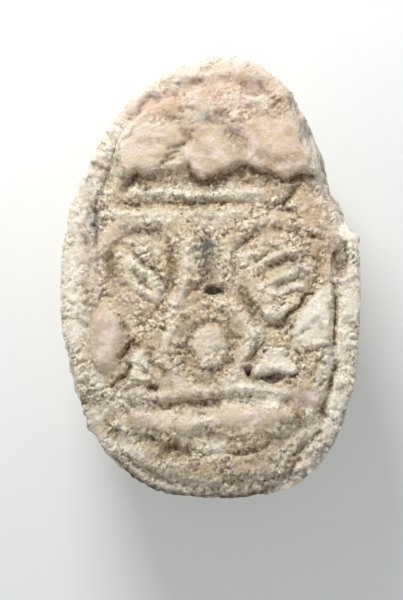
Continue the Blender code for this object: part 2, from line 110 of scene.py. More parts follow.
# How much of the wear reaches the string hole, and how much of it the head crust is spared.
HOLE_WEAR = 0.9
CRUST_SPARED = 0.85

# Relief of the sides and back: name, size of the lumps and share of the weathering.
WEATHER = (("lumpy", 0.7, 1.0), ("pitted", 0.16, 0.45))

# Pits that soil has partly filled: place, half width, half length and level of the soil.
SOIL_PLUGS = ((4.77, 0.68, 0.34, 0.62, 7.22),)
PLUG_DEPTH = 0.4

# Stains that lie over the pale crumbs and high spots, not under them, among them the painted shade
# along the outer edge and below the crust's step.
DARK_STAINS = ("umber", "slate", "ink", "rust")

# The material: lumps of its textures per metre, how much the speckles brighten and the tinges
# colour it, how deep its pores are, and its gloss.
SPECKLE_SCALE = 11000.0
TINGE_SCALE = 3200.0
SPECKLE_GAIN = 1.66
TINGE_STRENGTH = 0.6
PORE_DEPTH = 0.05 * MM
STONE_ROUGHNESS = 0.9
GLAZE_ROUGHNESS = 0.42
STONE_SPECULAR = 0.35

# Cuts and hollows of the seal face: depth, half width and course.
SEAL_CUTS = (
    # The frame line and the crack at the tail end.
    (60, 93, (-196,667, -226,663, -252,641, -275,614)),
    (70, 112, (-290,558, -301,532, -320,514)),
    (50, 112, (-346,499, -361,450, -380,413, -395,368, -417,323)),
    (60, 75, (-424,315, -428,255, -424,203, -424,136, -421,80, -428,5)),
    (130, 90, (503,121, 511,80, 507,31, 492,5)),
    (70, 112, (469,50, 484,27)),
    (70, 75, (462,1, 466,-51, 469,-89)),
    (190, 105, (473,-89, 466,-126, 466,-163)),
    (150, 82, (466,-171, 462,-220, 466,-257)),
    (60, 75, (462,-261, 466,-306)),
    (190, 97, (473,-317, 466,-358, 454,-395, 443,-425)),
    (110, 120, (447,-429, 432,-470)),
    (170, 135, (432,-470, 417,-508, 424,-522)),
    (100, 82, (417,-537, 413,-560)),
    (130, 127, (413,-582, 387,-605, 357,-638, 320,-668)),
    (90, 131, (-271,-717, -226,-739, -189,-754, -144,-773, -95,-784, -39,-799, 28,-799, 92,-795,
        166,-788, 215,-769, 260,-754, 297,-732)),
    (130, 82, (335,-680, 312,-698, 301,-732, 297,-766)),
    # Crevices and lumps of the head crust.
    (22, 103, (-69,727, -28,730)),
    (36, 123, (43,742, 73,742)),
    (54, 123, (137,686, 174,682)),
    (54, 103, (193,693, 226,689)),
    (45, 165, (245,656, 290,652)),
    (45, 82, (-170,686, -159,671)),
    (45, 82, (-144,671, -125,667)),
    (63, 82, (-114,622, -99,614)),
    (63, 82, (-88,626, -65,622)),
    (63, 165, (-159,592, -122,592)),
    (99, 123, (43,600, 62,592)),
    (54, 123, (24,614, 32,577, 65,570)),
    (63, 185, (-13,581, 21,570)),
    (63, 288, (77,536, 103,514, 133,487)),
    (54, 206, (-99,543, -73,510)),
    (99, 91, (-99,491, -129,480, -155,469)),
    (99, 91, (-122,465, -148,454, -170,442)),
    (81, 91, (-144,439, -181,424)),
    (45, 165, (-264,495, -196,495)),
    (45, 247, (178,446, 241,431, 316,442)),
    (54, 82, (294,461, 309,457)),
    # Crust that fills the frame line at the head end.
    (99, 107, (-443,252, -439,237)),
    (72, 82, (-447,192, -436,188)),
    (72, 82, (-402,199, -395,192)),
    (54, 165, (-17,772, 13,787)),
    (54, 165, (148,787, 170,757)),
    # The step below the head crust.
    (99, 144, (-279,383, -294,360, -309,338, -331,319)),
    (54, 123, (-275,375, -226,364, -189,368, -151,383)),
    (108, 99, (-77,413, -69,386, -50,368)),
    (99, 165, (-62,368, -39,349, -17,345)),
    (126, 185, (-6,364, 21,360, 32,345)),
    (108, 123, (-13,371, 9,375, 43,383, 73,386)),
    (108, 165, (80,386, 99,394, 122,375)),
    (126, 91, (95,398, 114,413, 133,416, 155,405, 170,390, 196,383, 223,386, 241,371, 267,360, 301,360,
        320,375, 338,383, 365,375)),
    (81, 144, (193,371, 223,368)),
    (72, 165, (125,364, 155,345)),
    (99, 148, (324,371, 346,379, 365,371)),
    (81, 123, (-447,416, -410,405)),
    (54, 144, (-383,435, -353,416)),
    (72, 123, (-398,401, -376,368)),
    # The two bars.
    (99, 123, (-338,274, -309,274)),
    (99, 123, (-297,274, -271,267)),
    (90, 123, (-241,270, -215,263)),
    (108, 123, (-58,274, 6,274)),
    (54, 123, (-189,270, -58,270)),
    (54, 123, (6,274, 204,274)),
    (63, 144, (223,263, 260,263)),
    (72, 165, (-327,173, -275,162, -226,166)),
    (63, 103, (-215,169, -185,166)),
    (54, 123, (-353,121, -327,121)),
    (54, 123, (-324,117, -294,117)),
    (72, 123, (241,181, 264,177)),
    (72, 123, (301,173, 324,169)),
    (72, 103, (380,147, 421,147)),
    (72, 103, (466,117, 488,113)),
    (72, 103, (237,106, 252,102)),
    (99, 115, (324,334, 297,304, 275,274, 275,248, 316,244)),
    # The left hood.
    (99, 107, (-290,87, -275,72)),
    (99, 107, (-256,50, -226,27, -200,5, -178,-14)),
    (81, 82, (-286,9, -260,-18, -241,-40, -219,-47)),
    (45, 82, (-286,-51, -249,-77, -226,-92)),
    (54, 123, (-335,-25, -297,-36)),
    (54, 165, (-372,72, -368,31, -372,-3)),
    (63, 123, (-181,-55, -166,-81)),
    (54, 99, (-174,-130, -159,-126)),
    (81, 132, (-327,-182, -312,-201)),
    # The stem, the hole below it and the drop.
    (81, 206, (-13,128, -6,53, -9,-14)),
    (72, 103, (-36,12, -21,-18)),
    (99, 103, (-24,-21, -58,-51, -95,-77)),
    (144, 206, (-13,-51, 17,-55, 47,-51)),
    (72, 103, (-28,-77, -9,-92)),
    (63, 132, (86,-264, 78,-307, 54,-340, 19,-359, -19,-359, -54,-340, -78,-307, -86,-264, -78,-222,
        -54,-188, -19,-170, 19,-170, 54,-188, 78,-222, 86,-264)),
    (72, 123, (-99,-171, -77,-208)),
    (54, 103, (-77,-216, -65,-227)),
    (72, 123, (-84,-242, -110,-268)),
    (54, 123, (-99,-291, -88,-306)),
    (54, 123, (-110,-328, -88,-332)),
    (72, 123, (58,-141, 73,-201)),
    (99, 123, (73,-234, 110,-234)),
    (72, 123, (69,-279, 92,-317)),
    (99, 165, (2,-350, 17,-388)),
    (54, 206, (-47,-388, -9,-410)),
    # The right hood and the plane beside it.
    (81, 123, (200,188, 174,177, 151,154, 129,132, 103,113)),
    (54, 82, (99,113, 88,83, 80,46)),
    (54, 123, (241,173, 264,188)),
    (63, 107, (305,177, 324,158)),
    (90, 91, (383,151, 402,147, 421,143)),
    (45, 165, (342,125, 376,117)),
    (63, 82, (155,50, 193,65, 223,87, 245,110)),
    (153, 165, (226,35, 256,46, 286,61, 316,57)),
    (63, 74, (320,53, 346,53)),
    (81, 91, (338,87, 368,76, 410,57)),
    (54, 107, (181,16, 200,1, 223,24)),
    (63, 148, (256,-40, 294,-29, 324,-14, 353,-18)),
    (72, 91, (290,-66, 324,-55, 342,-55)),
    (72, 70, (256,-122, 275,-104)),
    (54, 107, (305,-104, 320,-122)),
    (135, 78, (391,-66, 357,-66, 338,-100, 316,-126, 290,-145, 275,-167, 256,-190)),
    (135, 148, (226,-186, 252,-190, 275,-178)),
    (108, 78, (226,-186, 208,-167, 189,-148)),
    (99, 148, (275,-171, 301,-186)),
    (54, 140, (204,-201, 208,-223)),
    (63, 82, (346,-212, 368,-201)),
    (45, 123, (387,-171, 410,-190)),
    (72, 123, (443,110, 451,87)),
    (54, 103, (469,113, 488,121)),
    # Lumps and nicks of the rims.
    (63, 123, (518,-171, 540,-186)),
    (54, 123, (507,-283, 533,-276)),
    (54, 123, (496,-425, 473,-436)),
    (54, 123, (514,-29, 537,-14)),
    (54, 123, (-477,151, -462,128)),
    (54, 123, (-488,-29, -466,-55)),
    (54, 123, (-496,-156, -462,-182)),
    # The right tent.
    (117, 123, (193,-257, 174,-279, 155,-302)),
    (81, 82, (200,-283, 215,-279)),
    (81, 62, (140,-309, 137,-343)),
    (117, 115, (125,-339, 148,-354, 159,-365)),
    (81, 99, (148,-373, 170,-388)),
    (171, 123, (189,-377, 230,-377, 271,-369)),
    (54, 165, (196,-399, 226,-407)),
    (81, 82, (282,-395, 297,-392)),
    (108, 107, (297,-377, 324,-365)),
    (63, 66, (286,-268, 290,-298)),
    (63, 74, (316,-287, 331,-302)),
    (54, 82, (335,-358, 372,-365)),
    (36, 74, (417,-313, 436,-324)),
    # The left tent.
    (135, 132, (-294,-234, -301,-261, -316,-283, -331,-306)),
    (99, 115, (-301,-261, -271,-261)),
    (72, 99, (-331,-321, -305,-332)),
    (135, 91, (-297,-339, -309,-358, -331,-377, -350,-395, -368,-418)),
    (72, 99, (-365,-380, -350,-388)),
    (72, 82, (-320,-403, -309,-429)),
    (63, 74, (-297,-407, -264,-410, -234,-407)),
    (81, 123, (-226,-414, -215,-421, -196,-429)),
    (63, 99, (-234,-264, -211,-272)),
    (72, 99, (-230,-291, -215,-321, -200,-354)),
    (108, 132, (-189,-343, -170,-365)),
    (54, 107, (-230,-410, -211,-418)),
    (81, 148, (-185,-347, -163,-365)),
    (54, 99, (-185,-193, -166,-205)),
    (45, 91, (-260,-328, -241,-358)),
    # The basket with its lid.
    (45, 165, (-226,-478, -151,-485, -77,-478)),
    (72, 103, (-178,-500, -107,-504)),
    (72, 165, (-84,-478, -21,-478, 43,-470)),
    (45, 123, (43,-470, 185,-474)),
    (81, 144, (267,-481, 342,-481)),
    (54, 82, (39,-448, 39,-463)),
    (54, 82, (103,-455, 118,-459)),
    (63, 103, (-58,-511, -21,-515)),
    (81, 103, (271,-549, 305,-552, 335,-541)),
    (63, 206, (320,-508, 324,-552)),
    (72, 206, (200,-601, 252,-594)),
    (45, 123, (28,-564, 92,-571)),
    (45, 247, (-39,-590, 13,-597)),
    (81, 123, (-279,-608, -226,-608)),
    (63, 82, (-77,-608, -65,-616)),
    (54, 165, (-368,-582, -346,-601)),
    (72, 82, (-395,-545, -383,-560)),
    # Lumps and hollows of the tail crust.
    (90, 247, (-170,-661, -122,-661, -84,-650)),
    (63, 103, (73,-657, 92,-665)),
    (63, 123, (166,-657, 193,-683)),
    (54, 103, (54,-695, 73,-721)),
    (54, 103, (114,-687, 178,-702)),
    (72, 123, (193,-754, 241,-743)),
    (63, 103, (204,-638, 223,-627)),
    (72, 123, (54,-762, 80,-773)),
    (54, 123, (353,-668, 395,-687)),
    (81, 206, (-473,-451, -443,-466, -417,-463)),
    (72, 82, (-410,-444, -410,-459)),
    (72, 123, (-327,-485, -316,-515)),
    (54, 165, (-301,-470, -282,-489)),
)

# Ridges and lumps of the seal face: height, half width and course.
SEAL_RIDGES = (
    # Crevices and lumps of the head crust.
    (60, 150, (-137,413, -122,413)),
    (60, 262, (-264,469, -208,472)),
    (50, 299, (-282,525, -226,547, -170,528)),
    (60, 449, (204,480, 297,472)),
    (60, 224, (133,663, 189,663)),
    (60, 337, (-77,659, -21,629, -47,585)),
    (60, 374, (80,659, 95,603)),
    (50, 299, (-21,491, 28,442)),
    # Crust that fills the frame line at the head end.
    (60, 337, (-170,704, -77,749, 17,779, 129,779, 223,749, 275,697)),
    (150, 187, (-421,330, -436,248, -439,136, -432,31, -436,-89)),
    (190, 120, (140,-328, 140,-343)),
    (100, 224, (-391,-474, -309,-478, -226,-474)),
    (50, 75, (484,-89, 484,-276, 477,-369, 462,-455, 443,-530, 428,-575)),
    (60, 224, (-226,689, -189,727, -133,757)),
    (70, 262, (-54,787, -21,794)),
    (60, 262, (65,809, 110,801)),
    (60, 224, (193,764, 230,734)),
    (110, 224, (58,-474, 148,-470, 245,-474)),
    # The two bars.
    (90, 150, (-301,315, -189,312, -39,308, 193,315)),
    (80, 150, (-376,233, -264,229, -151,237)),
    (60, 224, (-219,211, -159,207)),
    (40, 150, (-133,233, 110,237)),
    # The left hood.
    (90, 135, (-301,65, -264,31, -219,-3, -181,-40)),
    (70, 135, (-294,-29, -245,-55, -196,-81)),
    (80, 206, (-92,136, -84,61, -95,-14, -114,-74)),
    (70, 168, (-129,-81, -148,-163, -170,-257, -185,-306)),
    # The stem, the hole below it and the drop.
    (80, 187, (28,-77, 80,-119, 129,-163, 155,-208, 140,-268, 118,-324, 80,-380)),
    (70, 449, (0,-249, 0,-279)),
    # The right hood and the plane beside it.
    (60, 112, (110,76, 155,83, 200,87)),
    (80, 150, (163,39, 215,65, 275,91, 331,95)),
    (90, 127, (230,-29, 260,-10, 290,1)),
    (90, 172, (301,9, 331,24, 365,31)),
    (100, 97, (223,-66, 279,-59, 312,-44, 346,-36)),
    (50, 168, (193,-74, 241,-89, 290,-81)),
    (80, 187, (200,-134, 241,-145, 279,-130, 309,-107)),
    (60, 97, (368,-257, 395,-257, 417,-249)),
    # Lumps and nicks of the rims.
    (60, 150, (503,-104, 514,-141)),
    (60, 150, (499,-216, 511,-249)),
    (50, 150, (488,-358, 496,-392)),
    (50, 150, (469,-478, 458,-515)),
    (50, 150, (-507,31, -503,-21)),
    (50, 150, (-488,263, -499,211)),
    (50, 150, (-496,-89, -481,-126)),
    # The right tent.
    (70, 112, (163,-365, 193,-373)),
    (60, 112, (267,-380, 282,-380)),
    # The left tent.
    (110, 127, (-301,-399, -249,-407)),
    (70, 127, (-275,-294, -286,-328, -294,-365)),
    (60, 82, (-297,-384, -234,-388)),
    # The basket with its lid.
    (70, 224, (-376,-444, -264,-444, -170,-444)),
    (70, 224, (-114,-418, -2,-425, 92,-410)),
    (90, 187, (92,-410, 185,-418, 279,-433)),
    (60, 150, (166,-440, 271,-444)),
    (50, 299, (-219,-545, -133,-552, -54,-552)),
    (60, 187, (-50,-541, 13,-537)),
    (60, 337, (17,-519, 148,-530, 279,-519)),
    (40, 150, (122,-519, 170,-519)),
    (50, 187, (-264,-508, -226,-530)),
    # Lumps and hollows of the tail crust.
    (60, 187, (-181,-695, -133,-706, -84,-702)),
    (80, 299, (-9,-642, 43,-657)),
    (60, 187, (-21,-616, 13,-620)),
    (50, 187, (-58,-777, 17,-777)),
    (60, 187, (43,-799, 84,-807)),
    (50, 150, (316,-709, 380,-702)),
    (60, 150, (-436,-455, -421,-455)),
    (60, 150, (-439,-511, -421,-537)),
    (50, 187, (-413,-623, -365,-646)),
)

# Lobes, plates and hollows: height, half width of the edge, colour and its strength, finish
# (1 smooth, -1 gritty and soiled) and outline.
AREAS = (
    # Lobes of the head crust.
    (45, 150, "cream", 0.85, 0.9, (-324,525, -294,547, -226,570, -151,555, -110,540, -103,499, -129,476,
        -151,450, -181,420, -219,394, -275,386, -309,375, -335,405, -342,454, -338,491)),
    (45, 150, "cream", 0.35, 0.9, (-84,510, -39,555, 17,566, 65,547, 80,491, 88,435, 65,398, 28,390,
        -9,379, -39,368, -62,383, -77,413, -92,454)),
    (50, 150, "cream", 0.4, 0.95, (148,577, 193,592, 279,585, 320,555, 346,510, 368,454, 372,386,
        335,390, 312,375, 290,364, 260,368, 234,383, 208,394, 170,398, 148,413, 125,420, 125,472,
        137,528)),
    (25, 187, "blush", 0.35, 0.7, (-286,614, -226,667, -151,719, -77,764, 17,809, 129,809, 230,772,
        282,727, 290,674, 193,667, 110,719, -2,704, -92,689, -189,644, -264,577)),
    (-35, 112, "slate", 0.45, 0.8, (-129,719, -114,738, -77,742, -69,712, -99,701, -122,704)),
    (-50, 93, "rust", 0.4, 0.7, (-69,738, -36,745, -21,730, -39,715, -65,715)),
    (-40, 112, "ochre", 0.45, 0.6, (2,753, 24,757, 32,723, 6,719)),
    (-60, 112, "mauve", 0.4, 0.7, (122,723, 163,727, 193,719, 200,697, 174,678, 137,682)),
    (20, 112, "chalk", 0.6, 0.6, (137,671, 178,671, 208,678, 230,663, 193,652, 148,656)),
    (15, 150, "blush", 0.5, 0.9, (178,465, 241,472, 320,465, 335,413, 282,398, 193,413)),
    # Stone beside the break.
    (25, 93, "chalk", 1, 0.7, (473,203, 496,203, 525,173, 544,136, 548,110, 522,110, 496,136)),
    (20, 150, "ochre", 0.4, 0.5, (320,345, 365,338, 402,285, 447,203, 484,151, 469,121, 417,151,
        357,188, 327,233, 327,285)),
    (20, 150, "cream", 0.35, 0.5, (327,338, 365,345, 395,300, 439,226, 484,151, 447,151, 380,233,
        342,285)),
    (40, 75, "chalk", 0.7, 0.5, (294,274, 309,278, 320,263, 309,252, 294,255)),
    # Hoods.
    (30, 112, "chalk", 0.22, 0.1, (103,106, 133,121, 178,136, 241,136, 305,113, 346,91, 395,53, 380,9,
        357,-59, 335,-96, 312,-122, 282,-145, 260,-171, 223,-171, 193,-145, 178,-111, 163,-74, 151,-29,
        125,16, 95,53)),
    (-50, 112, "umber", 0.35, -1, (107,-44, 140,-44, 151,-81, 170,-111, 170,-134, 155,-148, 133,-130,
        122,-100, 107,-77)),
    (-20, 150, "mauve", 0.45, 0.6, (95,1, 140,9, 144,-36, 103,-36)),
    (-30, 112, "ochre", 0.5, 0.2, (368,1, 398,-6, 398,-51, 368,-51)),
    (-40, 112, "umber", 0.3, -0.9, (-178,98, -129,98, -125,53, -125,-14, -137,-36, -155,-25, -159,24,
        -163,65)),
    (25, 112, "chalk", 0.3, 0.2, (-316,72, -286,53, -241,20, -189,-18, -178,-51, -196,-100, -234,-89,
        -286,-59, -324,-14)),
    (-30, 112, "rust", 0.25, 0.3, (-383,76, -357,76, -353,31, -361,-10, -383,-3)),
    # The plane by the right hood.
    (55, 97, "chalk", 1, 0.75, (301,-201, 338,-145, 380,-92, 417,-59, 451,-44, 454,-107, 424,-134,
        380,-163, 342,-201, 312,-231)),
    (35, 112, "chalk", 0.7, 0.6, (395,-107, 439,-89, 451,-182, 432,-253, 372,-264, 335,-238, 365,-171)),
    (-20, 112, "ochre", 0.35, 0, (342,-272, 424,-268, 428,-313, 353,-313)),
    # Tents.
    (90, 82, "chalk", 1, 0.6, (230,-276, 267,-264, 290,-283, 297,-313, 324,-335, 324,-358, 279,-362,
        230,-362, 193,-369, 163,-369, 159,-350, 181,-332, 204,-306)),
    (85, 75, "chalk", 0.6, 0.15, (-275,-279, -252,-276, -241,-306, -226,-343, -223,-384, -241,-395,
        -301,-384, -294,-350, -286,-313)),
    # Drop, stem and hole.
    (45, 112, "chalk", 0.14, 0.2, (-28,-197, 2,-186, 32,-201, 54,-238, 54,-283, 39,-321, 6,-343,
        -32,-328, -54,-291, -58,-246, -47,-216)),
    (-35, 150, "slate", 0.75, 0.5, (-28,125, 17,128, 21,68, 6,46, -28,53)),
    (-30, 112, "umber", 0.35, -0.6, (-36,46, -2,46, 6,-14, -32,-18)),
    # Side glaze.
    (60, 187, "glaze", 0.8, 0.95, (-432,-156, -398,-134, -361,-156, -338,-186, -324,-220, -331,-268,
        -353,-306, -383,-335, -421,-335, -439,-298, -443,-238, -447,-193)),
    # Painted highlight at the lower edge of the side glaze.
    (15, 75, "cream", 0.6, 1, (-413,-313, -387,-313, -387,-324, -413,-324)),
    # Basket and lid.
    (30, 112, "cream", 0.5, 0, (-368,-429, -282,-425, -170,-429, -77,-425, 6,-418, 6,-448, -114,-459,
        -226,-463, -338,-459)),
    (55, 112, "chalk", 0.55, 0.1, (88,-407, 133,-399, 193,-414, 249,-429, 282,-448, 275,-463, 223,-455,
        148,-440, 95,-433)),
    (-30, 112, "mauve", 0.45, 0.3, (-77,-463, 43,-459, 43,-481, -17,-493, -73,-485)),
    (30, 224, "cream", 0.3, 0.75, (-196,-522, -129,-511, -69,-526, -69,-567, -122,-579, -189,-571)),
    (36, 224, "blush", 0.25, 0.8, (43,-511, 110,-493, 223,-485, 290,-493, 305,-522, 275,-552, 208,-582,
        125,-590, 50,-560)),
    (15, 112, "olive", 0.2, 0.9, (178,-493, 282,-493, 297,-522, 275,-552, 215,-560, 185,-530)),
    # Painted highlight on the smooth basket lobe.
    (15, 75, "cream", 0.7, 1, (125,-515, 163,-511, 170,-522, 133,-526)),
    (45, 90, "cream", 0.65, 0.2, (-62,-541, -39,-530, 13,-522, 21,-537, -24,-552, -54,-560)),
    (-30, 112, "mauve", 0.4, 0.2, (-309,-537, -241,-541, -196,-560, -211,-597, -279,-605, -301,-575)),
    (10, 150, "mauve", 0.45, 0.9, (309,-436, 395,-425, 398,-493, 342,-500, 312,-470)),
    (10, 112, "ochre", 0.4, 0.6, (331,-388, 380,-380, 383,-418, 335,-421)),
    (-25, 112, "slate", 0.4, -0.5, (-32,-575, 13,-575, 21,-612, -24,-616)),
    # Tail end.
    (-15, 187, "olive", 0.35, 0, (-413,-466, -338,-459, -331,-496, -398,-508)),
    (-35, 112, "umber", 0.4, -0.7, (-181,-642, -129,-638, -77,-638, -84,-672, -151,-680)),
    (-30, 112, "olive", 0.5, 0, (204,-590, 252,-590, 252,-608, 208,-608)),
    (-20, 112, "olive", 0.5, -0.5, (-391,-575, -346,-579, -346,-612, -383,-605)),
)
